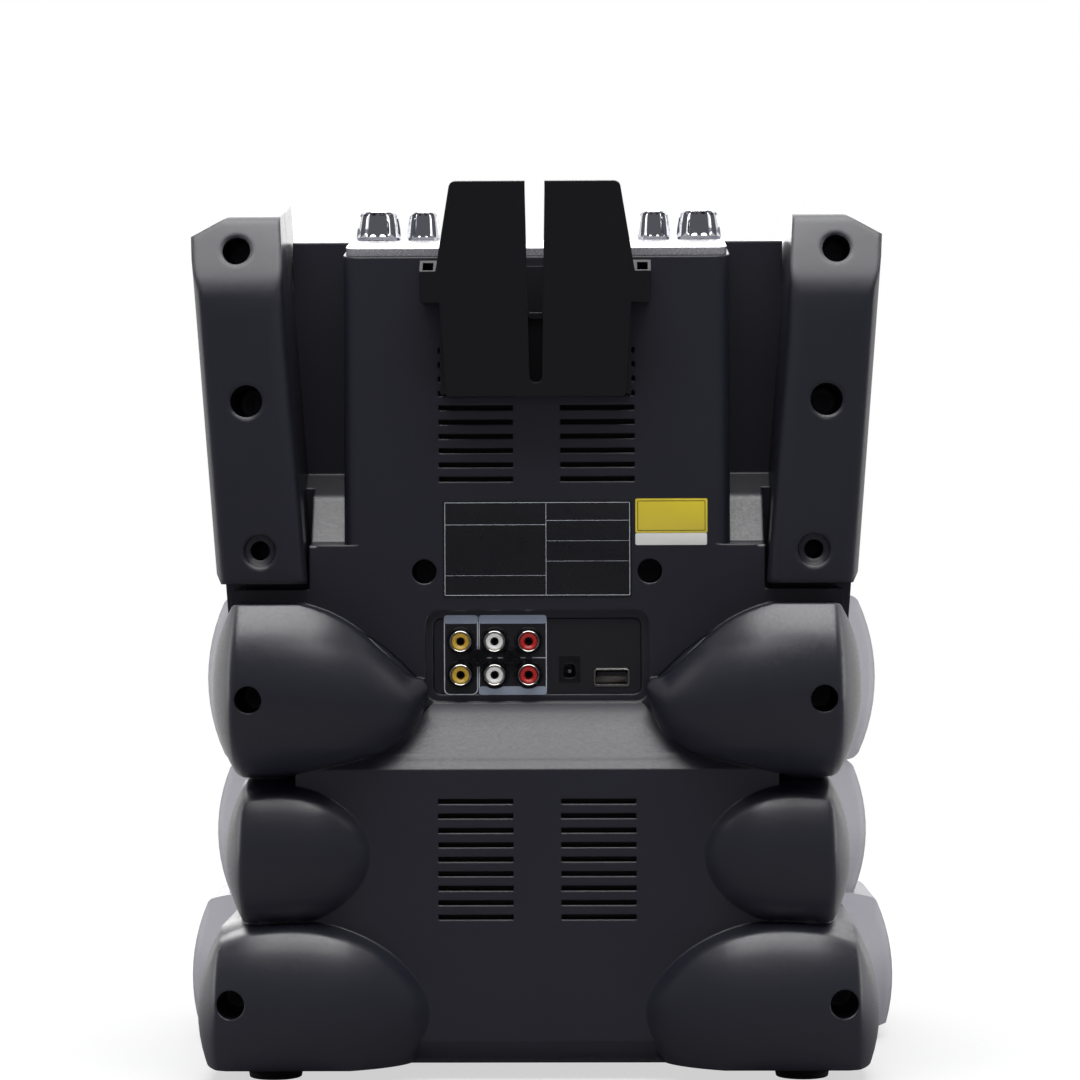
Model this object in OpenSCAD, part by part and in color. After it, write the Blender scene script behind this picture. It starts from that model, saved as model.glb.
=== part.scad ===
// Karaoke machine with a disc tray. Millimetres, standing on the XY plane.
// Front towards -Y, rear towards +Y, up is +Z, origin under the middle of the casing.

/* [Casing] */
// Thickness of the moulded shells
wall = 2.6; // [2:0.1:3.2]
// Rear plane of the tower that carries the phone cradle
tower_y = 78; // [76:0.5:80]
// How far the lower rear wall stands behind the tower plane
lower_step = 15; // [12:0.5:17]
// Plane where the rear shell meets the front shell
seam_y = 15; // [10:1:20]
// Width of the dark line between the two shells
seam_gap = 0.4; // [0.2:0.1:0.8]
// Front plane of the black fascia
fascia_y = -112; // [-113:0.5:-111]
// Underside of the shells above the floor
base_z = 6; // [5:0.5:7]
// Half width of the tower
tower_half = 74.5; // [73:0.5:76]
// Half width of the flat rear plate of the tower
plate_half = 69; // [67:0.5:70]
// Rounding of the tower's rear corners
tower_round = 6; // [3:0.5:7]
// Height of the crown of the top plate
crown_z = 327; // [326:0.5:329]
// Radius of the top plate's crown
crown_radius = 384; // [360:1:420]
// Height where the shoulder starts to slope out to the lower wall
shoulder_top = 142; // [140:0.5:144]
// Height where the shoulder meets the lower wall
shoulder_foot = 118.5; // [116:0.5:121]
// Height of the flat tops of the upper lobes
lobe_ledge = 181.5; // [180:0.5:184]
// Height of the belt that the handle covers stand on
belt_z = 187; // [185.5:0.5:188]
// How much wider the front shell grows than the rear shell
flare = 14; // [10:1:15]

/* [Handles] */
// Width of each handle
handle_w = 34.6; // [32:0.2:36]
// Outward lean of the handles in degrees
handle_lean = 4.4; // [3.6:0.1:5]
// Middle of a handle at its lower end, from the centre plane
handle_x = 106; // [105:0.5:107]
// Rear plane of the handle covers
handle_y = 86; // [84:0.5:88]
// Plane where the handle covers meet the rear shell
cover_y = 50; // [46:1:54]
// Depth plane of the finger recess beside each handle
recess_y = 38; // [34:1:42]
// Height of the lip of the finger recess
recess_lip = 204; // [200:1:208]
// Highest point of the handles
handle_top = 341; // [338:0.5:343]

/* [Fasteners] */
// Radius of the screw wells in the rear shell
well_r = 5.1; // [4.5:0.1:5.5]
// Radius of a screw shank
screw_r = 1.5; // [1.2:0.1:1.8]
// Radius of a screw head
head_r = 3.4; // [2.8:0.1:3.8]
// Depth of a screw well behind the surface that it opens in
well_depth = 30; // [24:1:34]

/* [Vents] */
// Half distance between the two columns of vents
vent_x = 23.4; // [22:0.2:25]
// Length of a vent slot
vent_w = 28.6; // [26:0.2:30]
// Height of a vent slot
vent_h = 2; // [1.6:0.1:2.4]
// Distance from slot to slot
vent_pitch = 5.5; // [5.2:0.1:5.6]

/* [Phone cradle] */
// Lean of the cradle plate in degrees
cradle_lean = 12; // [8:0.5:14]
// Thickness of the cradle's walls
cradle_wall = 2.4; // [2:0.1:2.8]
// Lift that frees the cradle's hooks
cradle_lift = 6; // [5:0.5:7]
// Foot of the cradle plate above the floor
cradle_z = 261; // [259:0.5:263]

/* [Sockets] */
// Middle of the three columns of phono sockets from the centre plane
phono_x = 15.6; // [15:0.1:16.4]
// Distance between phono sockets sideways
phono_pitch = 13.1; // [12.8:0.1:13.6]
// Height of the upper row of phono sockets
phono_top = 166.9; // [166:0.1:168]
// Distance between the two rows of phono sockets
phono_rows = 12.9; // [12.6:0.1:13.4]
// Outer radius of a phono socket's collar
phono_r = 4.15; // [4:0.05:4.3]

/* [Front] */
// Height of the middle of the speaker
speaker_z = 84; // [83:0.5:86]
// Radius of the speaker grille
grille_r = 62; // [60:0.5:63]
// Width of the lit ring round the grille
ring_w = 6; // [4:0.5:7]
// Width of the screen's window
screen_w = 166; // [158:1:166]
// Height of the screen window
screen_h = 88; // [84:1:90]
// Middle height of the screen
screen_z = 256; // [255:0.5:257]
// Middle height of the row of buttons
button_z = 199; // [198:0.5:200]
// Distance from button to button
button_pitch = 20; // [18:0.5:22]
// Radius of a button
button_r = 5; // [4:0.1:5.5]
// Travel of a button
button_travel = 1.2; // [0.8:0.1:1.5]
// Distance of the microphone sockets from the centre plane
mic_x = 58; // [54:1:60]
// Radius of the bore for a microphone plug
mic_r = 3.25; // [3.2:0.01:3.3]

/* [Knobs] */
// Distance of the large knobs from the centre plane
big_knob_x = 65; // [64:0.5:68]
// Distance of the small knobs from the centre plane
small_knob_x = 46.8; // [45:0.2:47]
// Radius of the large knobs
big_knob_r = 9.2; // [8.6:0.1:9.4]
// Radius of the small knobs
small_knob_r = 6.8; // [6.2:0.1:7]
// Height of a knob above the top plate
knob_h = 12.5; // [11:0.5:14]
// Radius of a control's shaft
shaft_r = 3; // [2.8:0.1:3.1]

/* [Disc drawer] */
// Height of the tray's upper face
tray_z = 178; // [177:0.5:179]
// Width of the disc tray
tray_w = 130; // [128:0.5:131]
// Travel of the disc tray
tray_travel = 118; // [112:1:119]
// Middle of the disc from the centre plane, front to rear
disc_y = -40; // [-41:0.5:-39]
// Radius of the well that holds a disc
disc_well_r = 60.6; // [60.2:0.1:61]
// Thickness of the tray
tray_t = 8; // [7:0.5:9]
// Travel of the laser sled
sled_travel = 34; // [30:1:36]

/* [Feet] */
// Distance of the feet from the centre plane
foot_x = 101; // [98:1:104]
// Distance of the feet from the middle, front to rear
foot_y = 80; // [76:1:84]
// Radius of a foot
foot_r = 11; // [9:0.5:12]

/* [Fit] */
// Running clearance between a shaft and its bore
fit = 0.05; // [0.03:0.01:0.08]
// Gap between parts that lie beside each other
gap = 0.3; // [0.2:0.05:0.4]

/* [Hidden] */
$fn = 64;
black = [0.13, 0.13, 0.15];
silver = [0.66, 0.66, 0.68];
far = 400;
lower_y = tower_y + lower_step;

// Lobes from top to bottom: axis y, axis z, radius at the crest, crest x,
// radius of the long arc, cap centre x and cap radius
lobes = [
    [tower_y + 7.5, 149, 34, 105, 80, 62.5, 61.4],
    [tower_y + 0.5, 86, 30.5, 98, 45, 66, 54],
    [tower_y + 1, 26, 38, 94, 70, 69.7, 61]
];
front_axis_y = -81.5;
// Rounding of the lobes' outer rims
rim_round = 6;
// How fast the front lobes widen behind the seam, per millimetre of depth
flare_rate = 0.4;
body_half = 97;
plate_x = 73.5;
plate_t = 3;
plate_drop = plate_t + 0.05;
foot_pin_r = 3;
knob_y = 2;
knobs = [
    [-big_knob_x, big_knob_r], [-small_knob_x, small_knob_r],
    [small_knob_x, small_knob_r], [big_knob_x, big_knob_r]
];
fascia_half = 84;
fascia_z0 = 10;
fascia_z1 = 306;
fascia_t = 3;
// Where the slanted lower edge of the lobes would meet the floor
chin = 100.5;

// Angle measured the short way round
function short_way(a) = a > 180 ? a - 360 : a < -180 ? a + 360 : a;

// Points that round the corner b between a and c with radius r
function corner_arc(a, b, c, r, n = 5) =
    let (
        u = (a - b) / norm(a - b),
        v = (c - b) / norm(c - b),
        half = acos(u * v) / 2,
        m = b + (u + v) / norm(u + v) * r / sin(half),
        p = b + u * r / tan(half) - m,
        q = b + v * r / tan(half) - m,
        start = atan2(p.y, p.x),
        sweep = short_way(atan2(q.y, q.x) - start)
    )
    [for (i = [0:n]) m + r * [cos(start + sweep * i / n), sin(start + sweep * i / n)]];

// Outline from corners [x, y, radius]
function rounded(c, n = 5) =
    let (k = len(c), at = function (i) [c[i % k].x, c[i % k].y])
    [for (i = [0:k - 1])
        each (c[i].z > 0 ? corner_arc(at(i + k - 1), at(i), at(i + 1), c[i].z, n) : [at(i)])];

// Rectangle between two corners with rounded corners
function slab_outline(x0, y0, x1, y1, r) =
    rounded([[x0, y0, r], [x1, y0, r], [x1, y1, r], [x0, y1, r]]);

// Where two circles on a common axis cross, on the upper side
function crossing(c1, r1, c2, r2) =
    let (
        d = norm(c2 - c1),
        a = (d * d + r1 * r1 - r2 * r2) / (2 * d),
        h = sqrt(r1 * r1 - a * a),
        u = (c2 - c1) / d,
        p = c1 + u * a + h * [-u.y, u.x],
        q = c1 + u * a - h * [-u.y, u.x]
    )
    p.y > q.y ? p : q;

// Extrudes an outline drawn in x and z from y0 to y1
module along_y(y0, y1) {
    translate([0, y1, 0])
        rotate([90, 0, 0])
            linear_extrude(y1 - y0) children();
}

// Extrudes an outline drawn in y and z from x0 to x1
module along_x(x0, x1) {
    translate([x0, 0, 0])
        rotate([90, 0, 90])
            linear_extrude(x1 - x0) children();
}

// Rod along Y
module rod_y(x, z, y0, y1, r) {
    translate([x, y1, z])
        rotate([90, 0, 0])
            cylinder(r = r, h = y1 - y0);
}

// Rod along X
module rod_x(y, z, x0, x1, r) {
    translate([x0, y, z])
        rotate([0, 90, 0])
            cylinder(r = r, h = x1 - x0);
}

// Box between two corners
module block(p, q) {
    translate(p) cube(q - p);
}

// The same shape on both sides of the centre plane
module both_sides() {
    children();
    mirror([1, 0, 0]) children();
}

// Upper arc of the top plate, drawn in y and z, lowered by t
module crown_region(t) {
    translate([-5, crown_z - crown_radius]) circle(crown_radius - t, $fn = 128);
}

// Corner between a lobe's long arc and its cap, outside the rounding of the rim
module rim_corner(arc_c, arc, cap_c, cap) {
    mid = crossing(arc_c, arc - rim_round, cap_c, cap - rim_round);
    u = (mid - arc_c) / norm(mid - arc_c);
    v = (mid - cap_c) / norm(mid - cap_c);
    difference() {
        polygon([mid, mid + 2 * rim_round * u, mid + 2 * rim_round * (u + v), mid + 2 * rim_round * v]);
        translate(mid) circle(rim_round + 0.12);
    }
}

// Side outline of one lobe in x and z about its own axis, grown sideways, t inside the lobe
module lobe_outline(l, grow, t) {
    arc = l[4];
    arc_c = [l[3] + grow, l[2] - arc];
    cap_c = [l[5], 0];
    cap = l[6] + grow;
    difference() {
        intersection() {
            translate(arc_c) circle(arc - t);
            translate([arc_c.x, -arc_c.y]) circle(arc - t);
            translate(cap_c) circle(cap - t);
        }
        // The shell's inside keeps its corners
        if (t == 0) {
            rim_corner(arc_c, arc, cap_c, cap);
            mirror([0, 1, 0]) rim_corner(arc_c, arc, cap_c, cap);
        }
    }
}

// Rear or front half of a lobe: a half turn of its outline about its own axis
module lobe_dome(l, grow, t) {
    rotate([0, 90, 0])
        rotate_extrude(angle = 180)
            intersection() {
                rotate([0, 0, 90]) mirror([0, 1, 0]) lobe_outline(l, grow, t);
                square([far, far]);
            }
}

// One lobe of the rear shell
module rear_lobe(l, t) {
    translate([0, 0, l[1]])
        along_y(seam_y - t, l[0]) lobe_outline(l, 0, t);
    translate([0, l[0], l[1]]) lobe_dome(l, 0, t);
}

// One lobe of the front shell, flaring away from the seam
module front_lobe(l, t) {
    depth = seam_y - front_axis_y;
    intersection() {
        translate([0, 0, l[1]])
            along_y(front_axis_y, seam_y) lobe_outline(l, flare, t);
        translate([l[5], seam_y, l[1]])
            rotate([90, 0, 0])
                cylinder(r1 = l[6] - t, r2 = l[6] - t + flare_rate * depth, h = depth);
    }
    translate([0, front_axis_y, l[1]])
        mirror([0, 1, 0]) lobe_dome(l, flare, t);
}

// Whole handle, front and rear, as one leaning bar with a sloped top, above z0
module handle_form(t, z0) {
    side = handle_w / 2 - t;
    intersection() {
        translate([handle_x, 0, 195])
            rotate([0, handle_lean, 0])
                translate([0, 0, -40])
                    linear_extrude(230)
                        polygon(slab_outline(-side, -72 + t, side, handle_y - t, 6.5 - t));
        along_x(60, 180)
            polygon(rounded([
                [-90, z0, 0], [handle_y - t, z0, 0],
                [handle_y - t, 300, 40], [handle_y - 14 - t, handle_top - 10 - t, 6],
                [15, handle_top - t, 40], [-50, handle_top - 4 - t, 20], [-90, 312 - t, 0]
            ]));
        along_y(-100, 100)
            polygon(rounded([
                [60, z0, 0], [handle_x + 15 - t, z0, 0],
                [handle_x + 40, z0 + 50, 0], [handle_x + 40, 316, 0],
                [handle_x + 24 - t, 325 - t, 7], [handle_x - 5, handle_top + 1 - t, 8],
                [handle_x - 13 + t, handle_top - 4, 0], [60, 300, 0]
            ]));
    }
}

// Block between a handle and the top plate, ahead of the finger recess
module shoulder_block(y0, y1, t) {
    intersection() {
        block([plate_x + gap + t, y0 + t, 200], [body_half - t, y1 - t, 400]);
        along_x(0, 200) crown_region(0.6 + t);
    }
}

// Middle of the rear shell below the tower, drawn in y and z
module lower_profile(t) {
    polygon([
        [seam_y - t, base_z + t], [lower_y - 7 - t, base_z + t], [lower_y - 7 - t, base_z + 2 + t / 2],
        [lower_y - t, base_z + 9 + t / 2], [lower_y - t, shoulder_foot],
        [tower_y - t, shoulder_top], [tower_y - t, belt_z - t], [seam_y - t, belt_z - t]
    ]);
}

module tower_block(t) {
    translate([0, 0, 150])
        linear_extrude(190)
            polygon(slab_outline(
                -tower_half + t, -30, tower_half - t, tower_y - t, max(tower_round - t, 1)));
}

// Everything that the rear shell bounds, smaller by t on every side
module rear_form(t) {
    intersection() {
        union() {
            along_x(-92 + t, 92 - t) lower_profile(t);
            intersection() {
                tower_block(t);
                along_x(-100, 100) crown_region(plate_drop + t);
            }
            both_sides() {
                for (l = lobes) rear_lobe(l, t);
                block([60, seam_y - t, 150], [118 - t, tower_y - t, belt_z - t]);
                block([60, seam_y - t, 150], [84.7 - t, tower_y - t, recess_lip - t]);
                intersection() {
                    handle_form(t, 170);
                    block([60, -40, 100], [160, cover_y - gap - t, 400]);
                }
                shoulder_block(-30, recess_y, t);
                recess_ramp(t);
            }
        }
        block([-200, seam_y + (t == 0 ? 0 : -10), base_z + t], [200, 200, 400]);
        // Ledge on top of the upper lobes
        union() {
            block([-200, -50, 0], [200, 200, lobe_ledge - t]);
            block([-200, -50, 100], [200, tower_y - t, 400]);
        }
        // Slanted lower rear edge of the lobes
        along_x(-200, 200)
            polygon([
                [-50, -100], [chin - 100 - 1.4 * t, -100], [chin + 200 - 1.4 * t, 200],
                [chin + 200 - 1.4 * t, 400], [-50, 400]
            ]);
    }
}

// Floor of the finger recess
module recess_ramp(t) {
    beside = handle_x - handle_w / 2 - 1 - t;
    meet = cover_y - gap - t;
    intersection() {
        along_x(tower_half - 10, 96 - t)
            polygon(rounded([
                [seam_y - t, 180, 0], [tower_y - t, 180, 0], [tower_y - t, recess_lip - t, 1.5],
                [tower_y - 11, recess_lip + 1 - t, 2], [tower_y - 21, recess_lip + 19 - t, 8],
                [recess_y - t, recess_lip + 28 - t, 0], [seam_y - t, recess_lip + 28 - t, 0]
            ]));
        // Beside the handle cover the ramp is narrower
        linear_extrude(400)
            polygon([[0, 0], [far, 0], [far, meet], [beside, meet], [beside, far], [0, far]]);
    }
}

// Shallow scoops that narrow the flat rear plate of the tower
module plate_scoops() {
    both_sides()
        intersection() {
            translate([plate_half - 3.4 + 164, tower_y, 266])
                rotate([0, 0, -38])
                    rotate([90, 0, 0])
                        translate([0, 0, -40])
                            cylinder(r = 164, h = 90, $fn = 128);
            block([plate_half - 8, tower_y - 20, 206], [120, tower_y + 20, 322]);
        }
}

// Screw wells: x, z, surface plane and radius
wells = [
    [43.4, 193.8, tower_y, well_r - 0.4],
    [107.5, 146.5, lobes[0][0] + 34, well_r],
    [115, 31.8, lobes[2][0] + 38, well_r + 0.3]
];
handle_wells = [[115.4, 317.5, 5.4], [111, 259.3, 6.2], [106, 202, 2.9]];
function well_floor(w) = w.z - well_depth - (w.z > lower_y ? 8 : 0);
well_web = 3;

module vent_bank(top, count, y0, y1) {
    for (i = [0:count - 1], s = [-1, 1])
        translate([s * vent_x - vent_w / 2, y0, top - i * vent_pitch - vent_h / 2])
            cube([vent_w, y1 - y0, vent_h]);
}

panel_x0 = -43.1;
panel_x1 = 43.1;
panel_z0 = 143.4;
panel_z1 = 178.8;
panel_depth = 2.5;
hook_x = 24;
hook_z = cradle_z + 35;
hook_w = 9;

module rear_shell() {
    color(black)
        difference() {
            rear_form(0);
            // The hollow leaves what stands inside
            difference() {
                rear_form(wall);
                both_sides()
                    for (w = wells)
                        rod_y(w.x, w.y, well_floor(w) - well_web, w.z + 10, w[3] + 2);
                // Posts for the main board
                for (x = [-60, 60], z = [220, 292]) {
                    rod_y(x, z, board_y + board_t, tower_y - 1, 3.5);
                    rod_y(x, z, board_y - 1.5, tower_y - 1, 1.5);
                }
                // Frame that backs the socket panel
                block([panel_x0 - 2, tower_y - panel_depth - 4.5, panel_z0 - 2],
                    [panel_x1 + 2, tower_y - 0.5, panel_z1 + 2]);
            }
            plate_scoops();
            both_sides()
                for (w = wells) {
                    rod_y(w.x, w.y, well_floor(w), 160, w[3]);
                    rod_y(w.x, w.y, well_floor(w) - 5, 160, screw_r + fit);
                }
            both_sides()
                for (w = handle_wells)
                    rod_y(w.x, w.y, cover_y - 8, cover_y + 2, screw_r + fit);
            vent_bank(278.8, 10, tower_y - 6, tower_y + 5);
            vent_bank(106.4, 9, lower_y - 6, lower_y + 5);
            along_y(tower_y - panel_depth, tower_y + 10)
                polygon(slab_outline(panel_x0, panel_z0, panel_x1, panel_z1, 5.4));
            along_y(tower_y - 8, tower_y + 10)
                polygon(slab_outline(panel_x0 + 3, panel_z0 + 3, panel_x1 - 3, panel_z1 - 3, 3));
            // Slots for the cradle's hooks
            for (s = [-1, 1])
                block([s * hook_x - hook_w / 2 - gap, tower_y - 6, hook_z],
                    [s * hook_x + hook_w / 2 + gap, tower_y + 2, hook_z + 4 + cradle_lift + 3]);
            both_sides()
                translate([foot_x, foot_y, 0]) cylinder(r = foot_pin_r + fit, h = 20);
        }
}

module front_form(t) {
    intersection() {
        union() {
            both_sides() {
                for (l = lobes) front_lobe(l, t);
                handle_form(t, 170);
                shoulder_block(fascia_y, seam_y + 20, t);
                block([60, front_axis_y + t, 150], [120 - t, seam_y + 20, belt_z - t]);
            }
            along_x(-body_half + t, body_half - t)
                intersection() {
                    polygon([
                        [fascia_y + t, base_z + t], [seam_y + 20, base_z + t],
                        [seam_y + 20, 340], [fascia_y + t, 340]
                    ]);
                    crown_region(plate_drop + t);
                }
        }
        block([-200, -160, base_z + t], [200, seam_y - (t == 0 ? seam_gap : -10), 400]);
    }
}

module front_shell() {
    color(silver)
        difference() {
            union() {
                difference() {
                    front_form(0);
                    // The hollow leaves what stands inside
                    difference() {
                        front_form(wall);
                        both_sides() {
                            for (w = [wells[1], wells[2]]) rod_y(w.x, w.y, -130, seam_y, 4);
                            rod_y(wells[0].x, wells[0].y, 4, seam_y, 4);
                            block([wells[0].x - 3, 4, wells[0].y - 3], [160, 12, wells[0].y + 3]);
                            // Shelf that the loader stands on
                            block([loader_half - 4, loader_front + 18, floor_z - 10],
                                [160, loader_front + 36, floor_z - 6]);
                        }
                        // Ledge behind the fascia
                        block([-body_half + 1, fascia_y + 0.1, base_z + 1],
                            [body_half - 1, fascia_y + fascia_t + wall, fascia_z1 + 2]);
                    }
                }
                // Posts that take the rear shell's screws
                both_sides()
                    for (w = wells) rod_y(w.x, w.y, seam_y - 2, well_floor(w) - well_web, 4);
            }
            // Window behind the fascia
            along_y(-150, fascia_y + fascia_t)
                polygon(slab_outline(
                    -fascia_half - gap, fascia_z0 - gap, fascia_half + gap, fascia_z1 + gap, 5));
            along_y(-150, fascia_y + 20)
                polygon(slab_outline(-fascia_half + 5, fascia_z0 + 5, fascia_half - 5, fascia_z1 - 5, 3));
            both_sides()
                for (w = wells)
                    rod_y(w.x, w.y, well_floor(w) - 24, 120, screw_r + fit);
            both_sides()
                translate([foot_x, -foot_y, 0]) cylinder(r = foot_pin_r + fit, h = 20);
            for (k = knobs)
                translate([k.x, knob_y, 300]) cylinder(r = shaft_r + 1, h = 60);
        }
}

module top_plate() {
    color([0.8, 0.8, 0.82])
        difference() {
            intersection() {
                translate([-plate_x, 0, 0])
                    rotate([90, 0, 90])
                        linear_extrude(2 * plate_x)
                            difference() {
                                crown_region(0);
                                crown_region(plate_t);
                                translate([-far, 0]) square([2 * far, 200]);
                            }
                linear_extrude(400)
                    polygon(slab_outline(-plate_x, fascia_y + 0.5, plate_x, tower_y - 1.5, 4));
            }
            for (k = knobs)
                translate([k.x, knob_y, 300]) cylinder(r = shaft_r + 1, h = 60);
        }
}

// One handle cover: the rear half shell of a handle
module handle_cover() {
    z0 = belt_z + 2.2;
    color(black)
        difference() {
            intersection() {
                handle_form(0, z0);
                block([50, cover_y, 100], [180, 120, 400]);
            }
            difference() {
                intersection() {
                    handle_form(wall, z0 + wall);
                    block([50, cover_y - 1, 100], [180, 120, 400]);
                }
                for (w = handle_wells)
                    rod_y(w.x, w.y, cover_y, 120, w.z + 2);
            }
            for (w = handle_wells) {
                rod_y(w.x, w.y, cover_y + 2.5, 120, max(w.z, head_r + 0.3));
                rod_y(w.x, w.y, cover_y - 2, 120, screw_r + fit);
            }
            rod_y(handle_wells[2].x, handle_wells[2].y, handle_y - 1.6, 120, 6.3);
        }
}

module handle_cover_left() handle_cover();
module handle_cover_right() mirror([1, 0, 0]) handle_cover();

// Outline of the cradle plate in x and height along the plate
module cradle_outline() {
    ear_low = 36;
    ear_top = 48;
    top = 82;
    difference() {
        polygon(rounded([
            [-34.3, 0, 1.5], [34.3, 0, 1.5], [36.3, ear_low, 0], [43.8, ear_low, 0.5],
            [43.8, ear_top, 0.5], [37.7, ear_top, 0], [32, top, 2.5], [-32, top, 2.5],
            [-37.7, ear_top, 0], [-43.8, ear_top, 0.5], [-43.8, ear_low, 0.5], [-36.3, ear_low, 0]
        ]));
        // Slot that leaves a charging lead free
        polygon(rounded([
            [-2.4, 5.2, 2.3], [2.4, 5.2, 2.3], [3.7, top - 3, 0], [3.7, top - 0.01, 0],
            [6.2, top + 1, 0], [-6.2, top + 1, 0], [-3.7, top - 0.01, 0], [-3.7, top - 3, 0]
        ]));
    }
}

cradle_inner_y = tower_y + gap;
cradle_foot_y = tower_y + 13.5;
cradle_shelf_z = 293;
module phone_cradle() {
    lean_y = function (z) cradle_foot_y + (z - cradle_z) * tan(cradle_lean);
    color(black) {
        difference() {
            union() {
                // Leaning plate with its two arms
                translate([0, cradle_foot_y - cradle_wall, cradle_z])
                    rotate([-cradle_lean, 0, 0])
                        along_y(0, cradle_wall) cradle_outline();
                // Flat back that lies against the tower
                block([-34.3, cradle_inner_y, cradle_z + 0.5], [34.3, cradle_inner_y + cradle_wall, cradle_z + 50]);
                // Side walls of the pocket
                both_sides()
                    along_x(34.3 - cradle_wall, 36.4)
                        polygon([
                            [cradle_inner_y, cradle_z + 0.5], [cradle_foot_y - 1, cradle_z + 0.5],
                            [lean_y(cradle_z + 46) - 1, cradle_z + 46],
                            [lean_y(cradle_z + 46) - 7, cradle_z + 50], [cradle_inner_y, cradle_z + 50]
                        ]);
                // Ears
                both_sides()
                    along_x(35, 43.8)
                        polygon([
                            [cradle_inner_y, cradle_z + 36], [lean_y(cradle_z + 35) - 0.5, cradle_z + 35.5],
                            [lean_y(cradle_z + 46.6) - 0.5, cradle_z + 46.6],
                            [lean_y(cradle_z + 46.6) - 6, cradle_z + 51], [cradle_inner_y, cradle_z + 51]
                        ]);
                // Shelf for the phone and floor of the pocket
                block([-34, cradle_inner_y, cradle_shelf_z - cradle_wall],
                    [34, lean_y(cradle_shelf_z) - 1, cradle_shelf_z]);
                block([-34, cradle_inner_y, cradle_z + 0.5], [34, cradle_foot_y - 1, cradle_z + 0.5 + cradle_wall]);
                // Hooks that reach through the slots in the tower
                for (s = [-1, 1]) {
                    block([s * hook_x - hook_w / 2, tower_y - wall - 3.4, hook_z + gap],
                        [s * hook_x + hook_w / 2, cradle_inner_y + 1, hook_z + 3.4]);
                    block([s * hook_x - hook_w / 2, tower_y - wall - 3.4, hook_z - cradle_lift + 1],
                        [s * hook_x + hook_w / 2, tower_y - wall - gap, hook_z + 3.4]);
                }
            }
            both_sides() {
                translate([40.6, lean_y(cradle_z + 48.8) - 3, cradle_z + 48.8])
                    rotate([-40, 0, 0])
                        cube([4, 5, 14], center = true);
            }
            // Slot in the shelf below the lead
            block([-2.6, cradle_inner_y + 4, cradle_shelf_z - 5], [2.6, 200, cradle_shelf_z + 1]);
        }
    }
}

// Phono sockets: column and row, colour by column
phono_spots = [for (c = [0:2], r = [0:1])
    [phono_x + phono_pitch * (1 - c) + 0.8, phono_top - r * phono_rows, c]];
io_face = tower_y - panel_depth;
jack_spot = [-12.4, 155.2];
usb_spot = [-28.6, 152.8];
io_board_y = tower_y - 18;
board_y = 56;
board_t = 1.6;

panel_back = io_face - 6;
panel_screws = [for (p = [phono_spots[0], phono_spots[2]]) [p.x - phono_pitch / 2, p.y - phono_rows / 2]];
module io_panel() {
    color([0.16, 0.16, 0.18])
        difference() {
            union() {
                along_y(panel_back + 1, io_face)
                    polygon(slab_outline(panel_x0 + 3 + gap, panel_z0 + 3 + gap,
                        panel_x1 - 3 - gap, panel_z1 - 3 - gap, 2.7));
                // Flange that lies against the frame from inside
                block([panel_x0 + 1, panel_back, panel_z0 + 1],
                    [panel_x1 - 1, tower_y - panel_depth - 4.5, panel_z1 - 1]);
            }
            for (p = phono_spots) rod_y(p.x, p.y, io_face - 12, io_face + 5, phono_r + fit);
            for (p = panel_screws) rod_y(p.x, p.y, io_face - 12, io_face + 5, screw_r + fit);
            rod_y(jack_spot.x, jack_spot.y, io_face - 12, io_face + 5, 3.4);
            block([usb_spot.x - 7, io_face - 12, usb_spot.y - 3.6],
                [usb_spot.x + 7, io_face + 5, usb_spot.y + 3.6]);
        }
}

// Metal collars of the phono sockets
module phono_collars() {
    color([0.8, 0.8, 0.8])
        for (p = phono_spots)
            difference() {
                union() {
                    rod_y(p.x, p.y, io_face - 8, io_face + 5.5, phono_r);
                    block([p.x - 5, io_board_y + board_t, p.y - 6], [p.x + 5, panel_back, p.y + 6]);
                }
                rod_y(p.x, p.y, io_face - 6, io_face + 9, phono_r - 0.6);
            }
}

// Coloured insert of one phono socket
module phono_insert(p) {
    difference() {
        rod_y(p.x, p.y, io_face - 6, io_face + 4.6, phono_r - 0.6 - fit);
        rod_y(p.x, p.y, io_face - 4, io_face + 9, 1.6);
    }
}

module phono_column(c) {
    for (p = phono_spots)
        if (p.z == c) phono_insert(p);
}
module phono_yellow() color([0.85, 0.7, 0.2]) phono_column(0);
module phono_white() color([0.9, 0.9, 0.9]) phono_column(1);
module phono_red() color([0.75, 0.12, 0.12]) phono_column(2);

module dc_jack() {
    color(black)
        difference() {
            union() {
                block([jack_spot.x - 4.5, io_board_y + board_t, jack_spot.y - 5.5],
                    [jack_spot.x + 4.5, panel_back, jack_spot.y + 5.5]);
                rod_y(jack_spot.x, jack_spot.y, panel_back - 1, io_face - 0.3, 3.2);
            }
            difference() {
                rod_y(jack_spot.x, jack_spot.y, io_face - 10, io_face + 5, 2.75);
                rod_y(jack_spot.x, jack_spot.y, io_face - 12, io_face - 1.4, 0.95);
            }
        }
}

module usb_port() {
    color([0.75, 0.75, 0.78]) {
        difference() {
            block([usb_spot.x - 6.6, io_board_y + board_t, usb_spot.y - 3.2],
                [usb_spot.x + 6.6, io_face + 0.4, usb_spot.y + 3.2]);
            block([usb_spot.x - 6.2, io_board_y + board_t + 1.4, usb_spot.y - 2.8],
                [usb_spot.x + 6.2, io_face + 2, usb_spot.y + 2.8]);
        }
        block([usb_spot.x - 5.6, io_board_y + board_t + 1, usb_spot.y + 0.3],
            [usb_spot.x + 5.6, io_face - 1, usb_spot.y + 2.2]);
    }
}

// Bare rating plate stuck to the tower
module rating_plate() {
    color([0.1, 0.1, 0.11])
        block([-36.5, tower_y + 0.02, 183.8], [36.2, tower_y + 0.35, 221]);
}

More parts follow.
